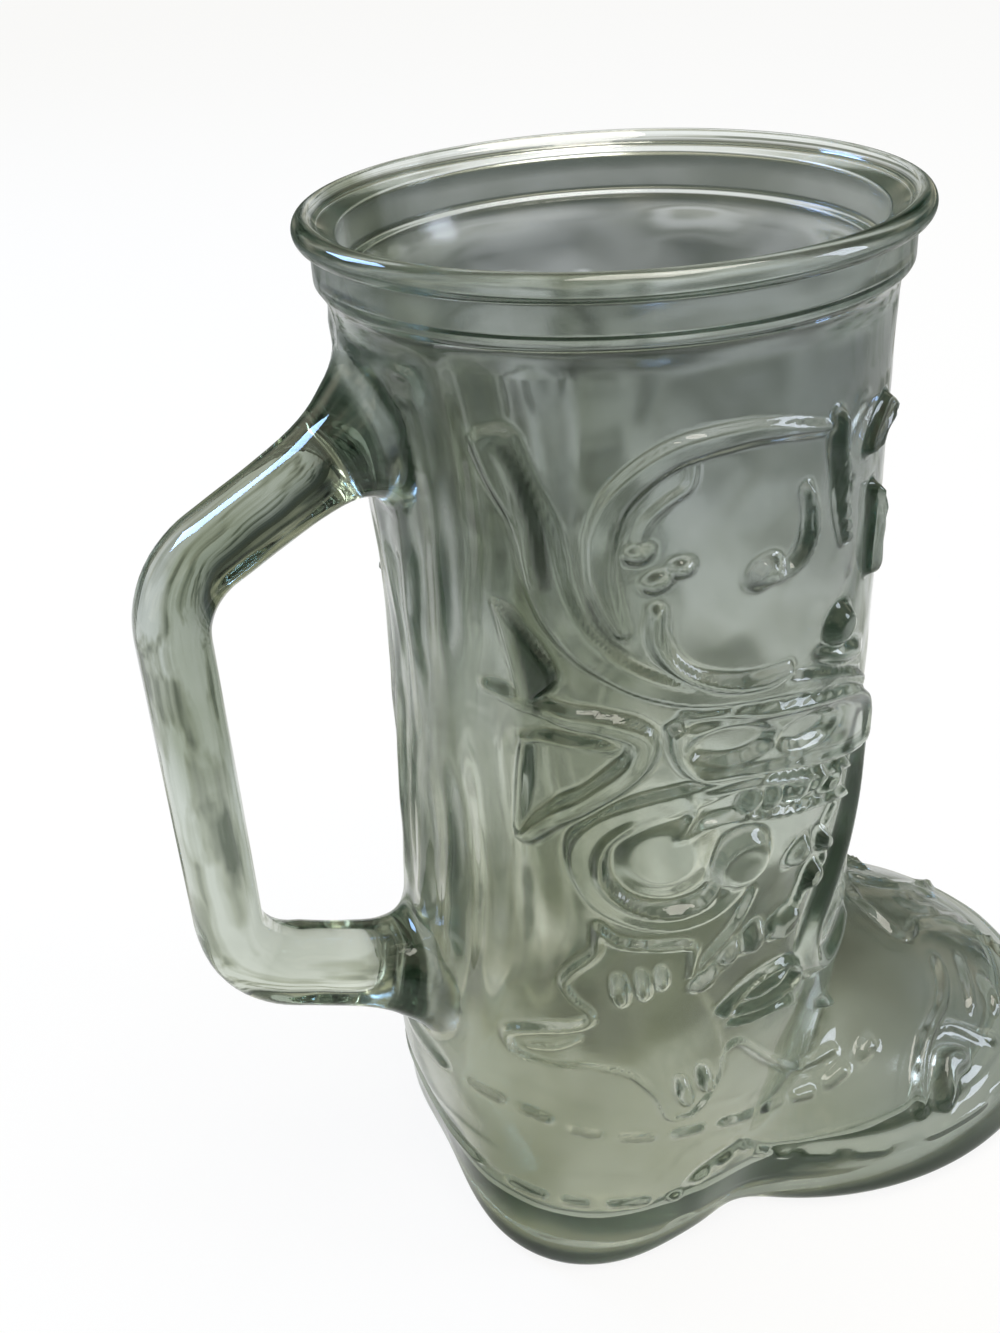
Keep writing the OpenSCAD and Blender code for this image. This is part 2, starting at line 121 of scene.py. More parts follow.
def skin(angle, z, inset=0.0):
    # the boot's radius in the direction of angle at height z, the whole form drawn in by inset
    share, legR = z / height, boot["legR"]
    leg = ellipseReach(angle, legR * stationReach(share, 1) - inset,
                       legR * stationReach(share, 2) - inset, legR * stationReach(share, 3) - inset)
    leg = leg * (1 + np.where(np.cos(angle) < 0, stationReach(share, 4), 0) * np.sin(2 * angle) ** 2)
    top = boot["vampH"] - inset
    s = np.clip(z / top, 0, 1)
    (topPower, topRound), (sidePower, sideRound) = boot["topCurve"], boot["sideCurve"]
    side = np.maximum((boot["ballHalf"] - inset) * (1 - s**sidePower) ** sideRound, boot["instepR"])
    instepX = legR * boot["instepShare"]
    front = instepX + (boot["toeReach"] - inset - instepX) * (1 - s**topPower) ** topRound
    above = boot["overVamp"] * np.maximum(z - top, 0)
    foot = ellipseReach(angle, legR * boot["shankShare"], front, side) - above
    # the leg runs into the foot with a small hollow over the instep and a wider one at the sides
    low, full = boot["sideHollowZ"]
    sides = np.sin(angle) ** 2 * np.clip((z - low) / (full - low), 0, 1)
    hollow = boot["instepR"] + boot["sideHollow"] * sides
    near = np.maximum(hollow - np.abs(leg - foot), 0)
    return np.maximum(leg, foot) + near**2 / (4 * hollow)


def smoothPath(points, steps=8):
    # a rounded path through a few points
    pts = np.array(points, float)
    before = np.vstack([pts[:1], pts[:-1]])
    after = np.vstack([pts[2:], pts[-1:]])
    out = []
    for k in range(len(pts) - 1):
        a, b, c, d = before[k], pts[k], pts[k + 1], after[k]
        for t in np.arange(steps) / steps:
            out.append(b + (c - a) / 2 * t + (a - 2.5 * b + 2 * c - d / 2) * t**2
                       + (3 * b - 3 * c + d - a) / 2 * t**3)
    out.append(pts[-1])
    return np.array(out)


def fall(d, start, end):
    # 1 up to start, 0 from end on, with a smooth slope between them
    t = np.clip((d - start) / (end - start), 0, 1)
    return 1 - t * t * (3 - 2 * t)


def climb(d, start, end):
    # the other way round: 0 up to start, 1 from end on
    return 1 - fall(d, start, end)


def distanceAlong(u, v, path):
    # the distance from points (u, v) to a path, and how far along it the nearest place is, 0 to 1
    best = np.full(u.shape, 1e9)
    place = np.zeros(u.shape)
    segments = len(path) - 1
    for k in range(segments):
        a, d = path[k], path[k + 1] - path[k]
        t = np.clip(((u - a[0]) * d[0] + (v - a[1]) * d[1]) / max(d @ d, 1e-9), 0, 1)
        dist = (u - a[0] - t * d[0]) ** 2 + (v - a[1] - t * d[1]) ** 2
        closer = dist < best
        best = np.where(closer, dist, best)
        place = np.where(closer, (k + t) / segments, place)
    return np.sqrt(best), place


def insideOf(u, v, path):
    # whether points (u, v) lie in a closed outline
    inside = np.zeros(u.shape, bool)
    for a, b in zip(path, np.roll(path, -1, axis=0)):
        crosses = (a[1] > v) != (b[1] > v)
        if a[1] != b[1]:
            inside ^= crosses & (u < a[0] + (v - a[1]) * (b[0] - a[0]) / (b[1] - a[1]))
    return inside


class Relief:
    # the height of the mould's ornament over a set of places on the skin, where pieces that meet blend softly
    def __init__(self, u, v):
        self.u, self.v = u, v
        self.power = np.zeros(u.shape)
        self.cut = np.zeros(u.shape)

    def near(self, path, reach):
        lo, hi = path.min(0) - reach, path.max(0) + reach
        return (self.u > lo[0]) & (self.u < hi[0]) & (self.v > lo[1]) & (self.v < hi[1])

    def add(self, where, rise):
        self.power[where] += rise**4

    def band(self, points, width, rise, edge, taper=0.0, last=None):
        # a raised band along a path, from width to last, its ends thinned by taper
        path = smoothPath(points)
        where = self.near(path, width + edge)
        d, t = distanceAlong(self.u[where], self.v[where], path)
        thin = 1 - taper * (2 * np.abs(t - 0.5)) ** 3
        half = (width + ((last or width) - width) * t) * thin / 2
        endRise = 0.35      # the share of its rise that a wholly thinned end would keep
        share = endRise + (1 - endRise) * thin
        self.add(where, rise * share * fall(d, half - edge / 2, half + edge / 2))

    def plate(self, points, rise, rim, edge, rimWidth=0.8):
        # a raised flat with a rim along its outline
        path = np.array(points, float)
        closed = smoothPath(list(points) + [points[0]], 4)
        where = self.near(path, 2 * edge)
        d, _ = distanceAlong(self.u[where], self.v[where], closed)
        signed = np.where(insideOf(self.u[where], self.v[where], closed[:-1]), -d, d)
        bead = rim * np.exp(-((signed + rimWidth) / rimWidth) ** 2)
        self.add(where, rise * fall(signed, -edge / 2, edge / 2) + bead)

    def oval(self, x, z, length, width, turn, rise, edge):
        # a raised oval, or a hollow one where rise is negative
        c, s = math.cos(math.radians(turn)), math.sin(math.radians(turn))
        a, b = (self.u - x) * c + (self.v - z) * s, -(self.u - x) * s + (self.v - z) * c
        out = np.sqrt((a / (length / 2)) ** 2 + (b / (width / 2)) ** 2)
        d = (out - 1) * min(length, width) / 2
        bump = fall(d, -edge / 2, edge / 2)
        if rise > 0:
            self.power += (rise * bump) ** 4
        else:
            self.cut = np.maximum(self.cut, -rise * bump)

    def height(self):
        return self.power**0.25 - self.cut


# ornament on the sides, in mm: x forward of the mouth's axis, z above the floor. After its places a band has
# its width, rise, soft edge, taper and last width, and a plate its rise, rim and soft edge; ovals are
# (x, z, length, width, turn), and after them come their rise, negative for hollow ones, and soft edge
scroll = {
    "bands": {
        "sBand": ([(-26.6, 136), (-25.4, 131.4), (-23.8, 126.4), (-23, 121.6), (-22.3, 117.4), (-20.8, 112.8),
                   (-18.6, 109.4), (-15.8, 106.8), (-12, 104.6), (-7, 103), (-1, 102.2), (5.2, 101.2),
                   (13, 98.8), (20, 94.6)], 4.4, 1.5, 1.1, 0.2, 2.8),
        "cBand": ([(-15.5, 112), (-16.5, 115), (-17.3, 118.6), (-17.5, 122), (-17.2, 125.4), (-15.9, 129.2),
                   (-13.2, 132.4), (-9.8, 134.6), (-6, 135.5), (-1, 135.8), (4, 135.2),
                   (10, 133.8)], 2.9, 1.2, 0.9, 0.6),
        "vein": ([(-7.6, 133.4), (-8.2, 130.6), (-10.6, 128.8), (-12.8, 126.4),
                  (-13.8, 122.8)], 1.0, 0.6, 0.8, 0.4),
        "curl": ([(7.2, 127), (8, 123.4), (7.4, 120.6), (6.2, 118.6), (4, 117.4),
                  (1.6, 117.4)], 1.2, 2.4, 2.0, 0.3),
        "dishEdge": ([(-11.6, 115), (-11.8, 111.8), (-10.4, 108.4), (-7.8, 105.8), (-3.6, 104), (1, 103.2),
                      (5.4, 103.4)], 1.4, 2.4, 1.7, 0.3),
        "tear": ([(-26.4, 135.4), (-25.4, 132.6), (-24.7, 129.4), (-24.1, 125.6), (-23.8, 121.4),
                  (-23.5, 118.6)], 1.6, 1.6, 1.2, 0.2),
        "dropLong": ([(12.1, 134.6), (11.9, 131), (12.6, 127), (13.2, 122.6),
                      (14.4, 118)], 1.7, 2.5, 2.04, 0.2, 0.5),
        "dropSlant": ([(23, 132.4), (20.4, 130.4), (18.6, 128)], 1.5, 2.5, 1.8, 0.2, 0.8),
        "dropShort": ([(20.8, 122), (21.4, 117), (21.1, 110.4)], 1.3, 2.5, 1.56, 0.2, 0.9),
    },
    "plates": {
        "wedge": ([(-27, 114.6), (-25.4, 113), (-22, 106), (-23.4, 102.2), (-24.8, 99.8),
                   (-25.8, 106)], 1.6, 0, 1.2),
    },
    "ovals": {
        "knots": ([(-13.6, 122.6, 2.6, 2, 20), (-11.6, 118.8, 3, 2.2, 30), (-9, 120.4, 2.4, 2, 0)], 1.3, 1.2),
        "curlEnd": ([(1.4, 118, 4, 3.2, 20)], 2.0, 2.2),
        "blocks": ([(14.4, 106, 5, 4.6, 70), (15.6, 101.4, 8.4, 2.4, -22)], 1.8, 1.8),
    },
}
strap = {
    "bands": {
        "tab": ([(-27.4, 101.6), (-22, 100), (-17.4, 99.2), (-13.4, 97.4), (-13.8, 93.6), (-17.2, 89.4),
                 (-21.6, 85), (-25.6, 80)], 3.0, 2.0, 1.3, 0.4),
        "tabTop": ([(-25, 95.4), (-22.4, 96), (-19.6, 96), (-16.6, 95.2)], 1.0, 2.0, 1.4, 0.5),
        "tabEdge": ([(-24.8, 95), (-25.4, 88), (-26.2, 79)], 0.9, 1.5, 1.0, 0.3),
        "lower": ([(-6, 88), (0, 88.2), (6, 86.6), (12, 84.6), (19, 81.6)], 1.2, 2.0, 1.5, 0.3),
    },
    "plates": {
        "strap": ([(-10.4, 98.4), (-8.2, 100.5), (-5.4, 100.8), (0, 100.1), (5, 99.4), (10, 98.4),
                   (16.4, 96.2), (21, 92.6), (22.6, 88), (21.6, 84), (16, 85.4), (10.7, 87.1), (4.1, 89.1),
                   (-1.5, 90), (-6.5, 90.3), (-8.8, 92.2), (-10, 95)], 1.6, 0.8, 1.2),
    },
    "ovals": {
        "slots": ([(-6.2, 99.2, 8.2, 1.5, -2), (-2.6, 95.4, 10.4, 4.8, -2),
                   (8.4, 93.6, 9.6, 4.2, -8)], -1.5, 1.3),
    },
}
spiral = {
    "bands": {
        "volute": ([(2, 90), (-3, 88.8), (-8, 87.4), (-13, 86), (-16.9, 83.6), (-19.2, 80.4), (-19.5, 76.4),
                    (-18.2, 72.4), (-15.6, 69.6), (-12, 68), (-8, 67.6), (-3.8, 68.8), (-0.8, 71.6),
                    (0.2, 75)], 4.2, 1.4, 1.0, 0.3),
        "steep": ([(-14.4, 84.6), (-17, 81.8), (-18, 78.6), (-17.8, 75), (-15.8, 71.6), (-12.2, 69.6),
                   (-8, 69.4), (-4.8, 70.8), (-3.2, 73.6)], 1.3, 2.8, 1.9, 0.5),
        "hook": ([(-8, 88), (-7.2, 85.8), (-8.4, 83.4), (-9.2, 81.8), (-5.5, 83), (-1, 83), (5.6, 81.2),
                  (11.4, 79.8), (19, 76.8)], 1.0, 1.9, 1.2, 0.2),
        "ankle": ([(24.5, 85), (23.6, 77), (20.8, 68.4), (16.8, 61), (14, 55), (14, 50), (16.6, 46.6),
                   (20.6, 46), (25, 48)], 3.6, 1.9, 3.0, 0.5, 2.6),
        "vine": ([(17, 76), (14, 72.6), (15, 68), (11.4, 66), (9.4, 62.6), (6, 61.6), (3.4, 59.4),
                  (0.4, 59.4), (-2, 57), (-5.6, 55)], 1.1, 1.2, 1.0, 0.3),
        "vineEdge": ([(2, 69), (-0.6, 64), (-4.2, 59.6), (-6.4, 56.4)], 0.9, 1.0, 0.9, 0.3),
    },
    "ovals": {
        "ball": ([(-10.9, 79, 11.4, 12.4, 0)], 1.8, 4.6),
        "bulb": ([(-0.4, 75.6, 8.4, 8, 40)], 2.2, 2.6),
        "leaves": ([(0.6, 85.4, 4, 2.2, 60), (3.6, 84.8, 4, 2.2, 60), (8, 84.4, 4, 2.4, 50),
                    (11.2, 84.4, 3.8, 2.4, 70), (14.4, 82, 3.8, 2.2, 40), (14.2, 71.8, 4, 2.2, 110),
                    (9.4, 72.4, 4, 2.2, 40), (12.4, 66.6, 4, 2.4, 60), (7.6, 60.8, 5.2, 3.4, 40),
                    (2, 60.6, 4.6, 2.6, 60), (-1.6, 59.4, 3.6, 2, 60), (-5.2, 55.6, 4.6, 2.4, 40)], 2.1, 1.5),
    },
}
plateOutline = [(-18.6, 66.2), (-16.6, 63.8), (-12, 62.8), (-7.2, 62.2), (-6.8, 59.4), (-6.4, 55.6), (-4, 50),
                (-2.6, 45), (-1.6, 40), (-2.1, 35), (-4.6, 30.8), (-7.2, 29), (-9.8, 29.6), (-11.4, 34),
                (-13.4, 37.2), (-15.8, 39.4), (-19.6, 40.4), (-25.2, 39.9), (-28.4, 40.6), (-29.3, 42.4),
                (-28.6, 44.4), (-25, 46.4), (-21.2, 47.8), (-19.8, 49.4), (-20, 51), (-21.6, 52.8),
                (-22.6, 55.4), (-21.4, 58.2), (-18.9, 61.8)]
plate = {
    "bands": {
        # the ridge follows the plate's edge but for its front
        "ridgeTop": (plateOutline[:5] + [(-7.2, 56.8)], 0.9, 1.6, 1.2, 0.2),
        "ridgeBack": (plateOutline[:1] + plateOutline[:8:-1] + [(-1.6, 38.6)], 0.9, 1.6, 1.2, 0.2),
        "ridgeFoot": ([(-27, 42.6), (-24, 43.8), (-21.4, 45.6)], 0.9, 1.6, 1.2, 0.2),
        "leafA": ([(-2.1, 47.8), (1, 51), (4.6, 52.7), (8.6, 52.4), (10.9, 50.2), (10.4, 47.8), (6.2, 47),
                   (1.4, 47.2), (-2.1, 47.8)], 1.0, 1.7, 1.1, 0),
        "leafB": ([(-0.4, 44.6), (4.4, 45.4), (8.6, 44.6), (11.8, 42.6)], 1.5, 1.8, 1.4, 0.8),
        "leafC": ([(18.4, 36), (21.6, 33), (24.4, 29.4)], 1.4, 1.6, 1.3, 0.8),
        "wave": ([(-1.6, 38.6), (0, 40.3), (2, 39.6), (5.2, 35.6), (9.8, 30), (14, 25.2), (19, 21),
                  (25, 20)], 0.9, 0.8, 0.9, 0.3),
    },
    "ovals": {
        "ovals": ([(-16.2, 55.5, 5.4, 2, 94), (-13.4, 56.4, 5, 1.7, 94), (-11, 57.4, 3.8, 1.5, 90),
                   (-7.8, 34.7, 6, 2.2, 102), (-4.7, 36.2, 5.2, 1.9, 102)], 2.7, 1.2),
        "leafVein": ([(5, 49.8, 8, 1.6, 8)], 1.5, 1.0),
    },
    "plates": {"plate": (plateOutline, 0.6, 0, 1.4)},
}
# rows of stitches on the side: the path of each row, and the measures of a stitch
stitches = {
    "rows": [
        [(-37.6, 30.4), (-33, 30.4), (-28.5, 29.8), (-23.3, 27.9), (-17.2, 26.6), (-10, 25.3), (-2.8, 24.5),
         (5.6, 22), (12, 19.2), (18, 17.4), (24.5, 17.8), (32, 19)],
        [(-36, 14.8), (-29.8, 14.8), (-24.6, 14.6), (-18.4, 14), (-9, 12.3)]],
    "length": 4.9, "gap": 2.2, "width": 1.3, "rise": 0.75,
}
# the row of long rounded stitches under the collar, each an outline round a low middle
collar = {
    "z": 140.6, "step": 14.6, "length": 8.0, "width": 3.6,      # step in degrees round the leg
    "rise": 0.5, "edge": 0.55, "middle": 0.25, "middleReach": (0.9, 1.9),
    "beside": (2.6, 2.75),          # angles from the toe, in radians, between which it comes in beside the seam
}
# the welt stands out round the ball and the toe, with a fine groove over it and stitches along it; at the waist
# its edge climbs and runs out
welt = {
    "top": [(-9, 13.4), (-5, 15.6), (-1, 16.8), (3, 17.4), (6, 14.4), (9.6, 11.8), (14, 10.6), (21, 10),
            (30, 9.2), (50, 8.8), (82, 8.8)],
    "fadesIn": (-9, -4), "fadesOut": (20, 24),          # x at the waist, and z
    "rise": 0.55, "edge": 0.5, "groove": 0.12, "grooveWidth": 0.6, "grooveUp": 1.1,
    "stitch": (4.2, 3.2, 1.1, 0.5),                     # length, gap, width and rise
    "stitchDown": 1.1, "stitchesTo": 60,
}
# ornament on the vamp, in mm from above: x forward of the mouth's axis, y to the side
vamp = {
    "bands": {
        "wing": ([(47, 0.4), (47.8, 4), (48.8, 7.4), (50.8, 9.2), (54.6, 6.6), (60, 5.6), (65.6, 6.6),
                  (69.6, 9), (70.6, 11.4)], 1.3, 1.3, 1.2, 0.2),
        "tongue": ([(56, 0), (58.6, 1.6), (62, 3.2), (68, 5)], 1.2, 0.8, 1.1, 0.4),
        "cap": ([(53, 14.6), (51.6, 18.4), (48.4, 22.4), (45.4, 24.6), (40.8, 28), (37.2, 31.8),
                 (35.2, 35.4)], 1.5, 1.7, 1.3, 0.2),
        "comma": ([(46.6, 30.6), (43.4, 31), (41.8, 32.8), (40.2, 35)], 3.0, 2.2, 1.7, 0.3),
        "tail": ([(44.6, 26.6), (46.8, 25.8), (50.2, 26.8), (53.2, 28), (56, 28.4)], 0.8, 0.9, 0.9, 0.4),
        "loopIn": ([(58.4, 14.2), (56.6, 19), (55, 22), (53.8, 24.2)], 1.0, 1.2, 1.0, 0.4),
        "loopOut": ([(60.2, 18.6), (60.4, 21.4), (59.2, 24)], 1.0, 1.2, 1.0, 0.4),
    },
    "fadesIn": (32, 36), "over": (-1, 2),       # where it takes over from the sides: x, and over the vamp
}


def press(r, ornament):
    # presses the bands, plates and ovals of a dictionary into a relief
    for points, *form in ornament.get("bands", {}).values():
        r.band(points, *form)
    for points, *form in ornament.get("plates", {}).values():
        r.plate(points, *form)
    for places, *form in ornament.get("ovals", {}).values():
        for place in places:
            r.oval(*place, *form)


def stitchRow(r, points, length, gap, width, rise):
    # a row of raised stitches along a path
    path = smoothPath(points)
    where = r.near(path, 2 * width)
    d, t = distanceAlong(r.u[where], r.v[where], path)
    along = t * np.sum(np.hypot(*np.diff(path, axis=0).T))
    step = length + gap
    off = np.abs((along + step / 2) % step - step / 2)
    end = np.maximum(off - length / 2 + width / 2, 0)
    r.add(where, rise * fall(np.hypot(d, end), width * 0.2, width * 0.8))


def sideRelief(x, z):
    # the pressed ornament of one side, seen square on to the mould
    r = Relief(x, z)
    for ornament in (scroll, strap, spiral, plate):
        press(r, ornament)
    for row in stitches["rows"]:
        stitchRow(r, row, stitches["length"], stitches["gap"], stitches["width"], stitches["rise"])
    return r.height()


def weltRelief(x, z):
    # the welt's raised edge, its groove and its stitches
    over = z - np.interp(x, *np.array(welt["top"]).T)
    r = Relief(x, z)
    row = [(a, b - welt["stitchDown"]) for a, b in welt["top"] if a < welt["stitchesTo"]]
    stitchRow(r, row, *welt["stitch"])
    groove = welt["groove"] * np.exp(-((over - welt["grooveUp"]) / welt["grooveWidth"]) ** 2)
    edge = welt["rise"] * fall(over, -welt["edge"], welt["edge"])
    return climb(x, *welt["fadesIn"]) * fall(z, *welt["fadesOut"]) * (edge + r.height() - groove)


def vampRelief(x, y):
    # the ornament of the vamp, the same on both sides of the middle
    r = Relief(x, np.abs(y))
    press(r, vamp)
    return r.height()


def collarStitches(angle, z):
    # the stitches under the collar, all from one step round the leg
    step = math.radians(collar["step"])
    off = np.abs((angle + step / 2) % step - step / 2) * boot["legR"]
    half = (collar["length"] - collar["width"]) / 2
    d = np.hypot(np.maximum(off - half, 0), z - collar["z"])
    outline = collar["rise"] * np.exp(-((d - collar["width"] / 2) / collar["edge"]) ** 2)
    middle = collar["middle"] * fall(d, *collar["middleReach"])
    return (outline + middle) * climb(np.abs(angle), *collar["beside"])


def evenRows(angle, zs, inset, rows):
    # each column's profile between the first and last of zs, cut into rows of even length
    r = skin(angle[None, :], zs[:, None], inset)
    step = np.hypot(np.diff(r, axis=0), np.diff(zs)[:, None])
    run = np.vstack([np.zeros(len(angle)), np.cumsum(step, axis=0)])
    out = np.empty((rows, len(angle), 3))
    for k in range(len(angle)):
        at = np.linspace(0, run[-1, k], rows)
        z = np.interp(at, run[:, k], zs)
        rr = skin(np.full(rows, angle[k]), z, inset)
        out[:, k] = np.stack([rr * math.cos(angle[k]), rr * math.sin(angle[k]), z], 1)
    return out


def turned(angle, profile):
    # rings of a revolved profile of (radius, z)
    return np.array([[(r * c, r * s, z) for c, s in zip(np.cos(angle), np.sin(angle))] for r, z in profile])


def outwards(grid):
    # unit normals of a grid of rows and closed columns, pointing out
    across = np.roll(grid, -1, axis=1) - np.roll(grid, 1, axis=1)
    down = np.gradient(grid, axis=0)
    n = np.cross(down, across)
    n /= np.linalg.norm(n, axis=2, keepdims=True)
    radial = grid * (1, 1, 0)
    return n * np.sign(np.sum(n * radial, axis=2, keepdims=True) + 1e-9)


def ripple(x, y, z, size):
    # the slow unevenness that pressed glass keeps from the mould and the fire polish
    k = 2 * math.pi / size
    return (np.sin(k * (x + 0.4 * z) + 1.3) * np.sin(k * (0.9 * z - 0.3 * y) + 0.4)
            + 0.6 * np.sin(k * 1.7 * (y + 0.2 * z) + 2.1) * np.sin(k * 1.4 * (z - 0.5 * x) + 0.7))


def arc(cx, cz, r, start, end, steps):
    # places on a round, between two angles in degrees
    return [(cx + r * math.cos(math.radians(a)), cz + r * math.sin(math.radians(a)))
            for a in np.linspace(start, end, steps)]


def columnAngles(count):
    # more columns on the ornamented sides than on the plain front and back
    a = np.linspace(-math.pi, math.pi, 4001)
    (lessBack, backSpread), (lessFront, frontSpread) = boot["fewerBack"], boot["fewerFront"]
    dense = 1 - lessBack * np.exp(-((np.abs(a) - math.pi) / backSpread) ** 2)
    dense -= lessFront * np.exp(-(a / frontSpread) ** 2)
    run = np.concatenate([[0], np.cumsum((dense[1:] + dense[:-1]) / 2)])
    return np.interp(np.arange(count) / count * run[-1], run, a)


def ringAt(a, z, inset):
    # a level ring of the plain skin, drawn in by inset
    zs = np.full(len(a), float(z))
    r = skin(a, zs, inset)
    return np.stack([r * np.cos(a), r * np.sin(a), zs], 1)


def towards(ring, middleX, shares):
    # copies of a ring, each shrunk towards the middle to a share of its size
    c = np.array((middleX, 0, 0))
    return [c + (ring - c) * (f, f, 1) for f in shares]


def levels(top, low, count, bendCount, power):
    # heights from the leg's top down to low, past the vamp's top, where they are closest
    bend = top + boot["bendH"]
    return np.concatenate([np.linspace(legTopZ, bend, count), np.linspace(bend, top, bendCount)[1:],
                           top - (top - low) * np.linspace(0, 1, count)[1:] ** power])


def outerSkin(a):
    # the outside with all its ornament, from under the collar down to the sole's edge
    vampH = boot["vampH"]
    outer = evenRows(a, levels(vampH, boot["outerLow"], *boot["outerLevels"]), 0, boot["outerRows"])
    x, y, z = outer[..., 0], outer[..., 1], outer[..., 2]
    angle = np.broadcast_to(a, x.shape)
    around = np.abs(angle)
    rise = np.maximum(sideRelief(x, z), collarStitches(angle, z))
    onVamp = fall(z, vampH + vamp["over"][0], vampH + vamp["over"][1]) * climb(x, *vamp["fadesIn"])
    rise = rise * (1 - onVamp) + vampRelief(x, y) * onVamp
    topStart, topEnd = boot["ornamentTop"]
    rise *= fall(z, legTopZ - topStart, legTopZ - topEnd) * climb(z, *boot["ornamentLow"])
    rise += weltRelief(x, z)
    rise += boot["ripple"][1] * ripple(x, y, z, boot["ripple"][0])
    sway = np.sin(around * backWaves["round"] + backWaves["sway"] * np.sin(z / backWaves["swayZ"]))
    waves = sway * np.sin(z / backWaves["lengthZ"] + backWaves["lean"] * around + np.sign(y))
    rise += backWaves["rise"] * waves * climb(around, *backWaves["beside"]) * climb(z, *backWaves["over"])
    return outer + outwards(outer) * rise[..., None]


def innerSkin(a):
    # the plain inside, from the round over the cavity's floor up to the collar
    wall, floorR = boot["wall"], boot["floorR"]
    zs = levels(boot["vampH"] - wall, soleT + floorR, *boot["innerLevels"])
    inner = evenRows(a, zs, wall, boot["innerRows"])[::-1]
    size, depth = boot["innerRipple"]
    rise = depth * ripple(inner[..., 1], inner[..., 0], inner[..., 2], size)
    return inner + outwards(inner) * rise[..., None]


def cavityFloor(a):
    # the floor of the cavity, from the middle out, and the round where it meets the wall
    wall, floorR = boot["wall"], boot["floorR"]
    rounded = [ringAt(a, soleT + floorR * (1 - math.sin(t)), wall + floorR * (1 - math.cos(t)))
               for t in np.radians((80, 60, 40, 20))]
    flat = ringAt(a, soleT, wall + floorR)
    return towards(flat, boot["floorMiddle"], (0.2, 0.45, 0.7, 0.88, 1.0)) + rounded


# the mouth in section, in mm: a round bead over a small lip, and the collar, whose outside is a shallow groove
mouth = {
    "bead": 1.65, "lip": 0.53, "thick": 5.4,        # the rounds of bead and lip, and the bead's way across
    "ledgeUp": 3.36, "beadDown": 3.3,               # the cavity's ledge over the leg, and the lip under the top
    # steps out and up from the leg's inner wall, then from the mouth's inner wall at the ledge
    "neck": [(0.28, 1), (0.62, 2.2)],
    "ledge": [(-1.16, -0.2), (-1.12, -0.05), (-1.02, 0.04), (-0.85, 0.12), (-0.5, 0.27), (-0.36, 0.36),
              (-0.28, 0.5), (-0.25, 0.8), (-0.12, 2.6)],
    "slope": (0.25, 0.5, 0.72), "slopeSag": 0.28, "slopeUp": 0.45, "slopeEnd": 0.15,
    # steps out and up from the bead's outermost place, at the lip's height and then at the ledge's
    "groove": [(-1.98, -0.12), (-2, -0.4), (-2, -2.4)],
    "skirt": [(-2, 0.4), (-2.03, 0.12), (-2.14, -0.14), (-2.6, -0.66), (-3, -1.12), (-3.3, -1.8),
              (-3.56, -2.6)],
}


def mouthProfile():
    # from the cavity over the bead and down the collar to the leg, as (radius, z)
    bead, lip = mouth["bead"], mouth["lip"]
    mouthIn, crestX = mouthR - mouth["thick"], mouthR - bead
    ledgeZ, beadZ = legTopZ + mouth["ledgeUp"], height - mouth["beadDown"]
    lipX, lipZ = mouthIn + lip, beadZ + lip
    slopeZ, slopeH = lipZ + mouth["slopeUp"], height - lipZ - mouth["slopeUp"] - mouth["slopeEnd"]
    slope = [(lipX + (crestX - lipX) * t - mouth["slopeSag"] * (1 - t), slopeZ + slopeH * t)
             for t in mouth["slope"]]

    def steps(name, x, z):
        return [(x + out, z + up) for out, up in mouth[name]]

    return (steps("neck", boot["legR"] - boot["wall"], legTopZ) + steps("ledge", mouthIn, ledgeZ)
            + [(mouthIn, beadZ)] + arc(lipX, lipZ, lip, 180, 122, 7) + slope
            + arc(crestX, height - bead, bead, 112, -96, 24)
            + steps("groove", mouthR, beadZ) + steps("skirt", mouthR, ledgeZ))


# the sole plate's edge: height, then how far the ring is drawn in under the foot and under the heel; the
# middle of the underside stands clear of the table
sole = {
    "edge": [(6, -0.55, 0), (5.2, -0.58, 0), (4, -0.6, 0), (3, -0.58, 0.02), (2.1, -0.4, 0.1), (1.4, 0, 0.3),
             (0.8, 0.5, 0.65), (0.35, 1.1, 1.15), (0.08, 1.8, 1.8), (0, 2.4, 2.4), (0, 5, 5), (0, 7.2, 7.2)],
    "clear": soleT * 0.12, "rise": [(0.5, 7.8), (1, 8.6)],
    "waist": (-0.35, -0.1),         # cosines of the angle from the toe, between which heel and foot meet
}


def soleEdge(a):
    # rings from the top of the sole's edge down and in under it
    foot = climb(np.cos(a), *sole["waist"])[:, None]
    edge = [ringAt(a, z, heelInset) * (1 - foot) + ringAt(a, z, inset) * foot
            for z, inset, heelInset in sole["edge"]]
    return edge + [ringAt(a, sole["clear"] * share, inset) for share, inset in sole["rise"]]


def shellRows():
    # the whole surface in rows, from the middle of the cavity's floor over the mouth to the middle of the sole
    a = columnAngles(boot["columns"])
    edge = soleEdge(a)
    rows = (cavityFloor(a) + list(innerSkin(a)) + list(turned(a, mouthProfile())) + list(outerSkin(a)[1:])
            + edge + towards(edge[-1], boot["soleMiddle"], (0.85, 0.6, 0.3)))
    return np.array(rows), (boot["floorMiddle"], 0, soleT), (boot["soleMiddle"], 0, sole["clear"])


def shellMesh(name):
    rows, floorPole, solePole = shellRows()
    m, n = rows.shape[:2]
    points = np.vstack([rows.reshape(-1, 3), [floorPole], [solePole]])
    k = np.arange(n)
    nextK = (k + 1) % n
    faces = []
    for j in range(m - 1):
        faces += np.stack([j * n + k, j * n + nextK, (j + 1) * n + nextK, (j + 1) * n + k], 1)[:, ::-1].tolist()
    faces += [[m * n, int(q), int(p)][::-1] for p, q in zip(k, nextK)]
    last = (m - 1) * n
    faces += [[m * n + 1, last + int(p), last + int(q)][::-1] for p, q in zip(k, nextK)]
    return meshOf(name, points, faces)


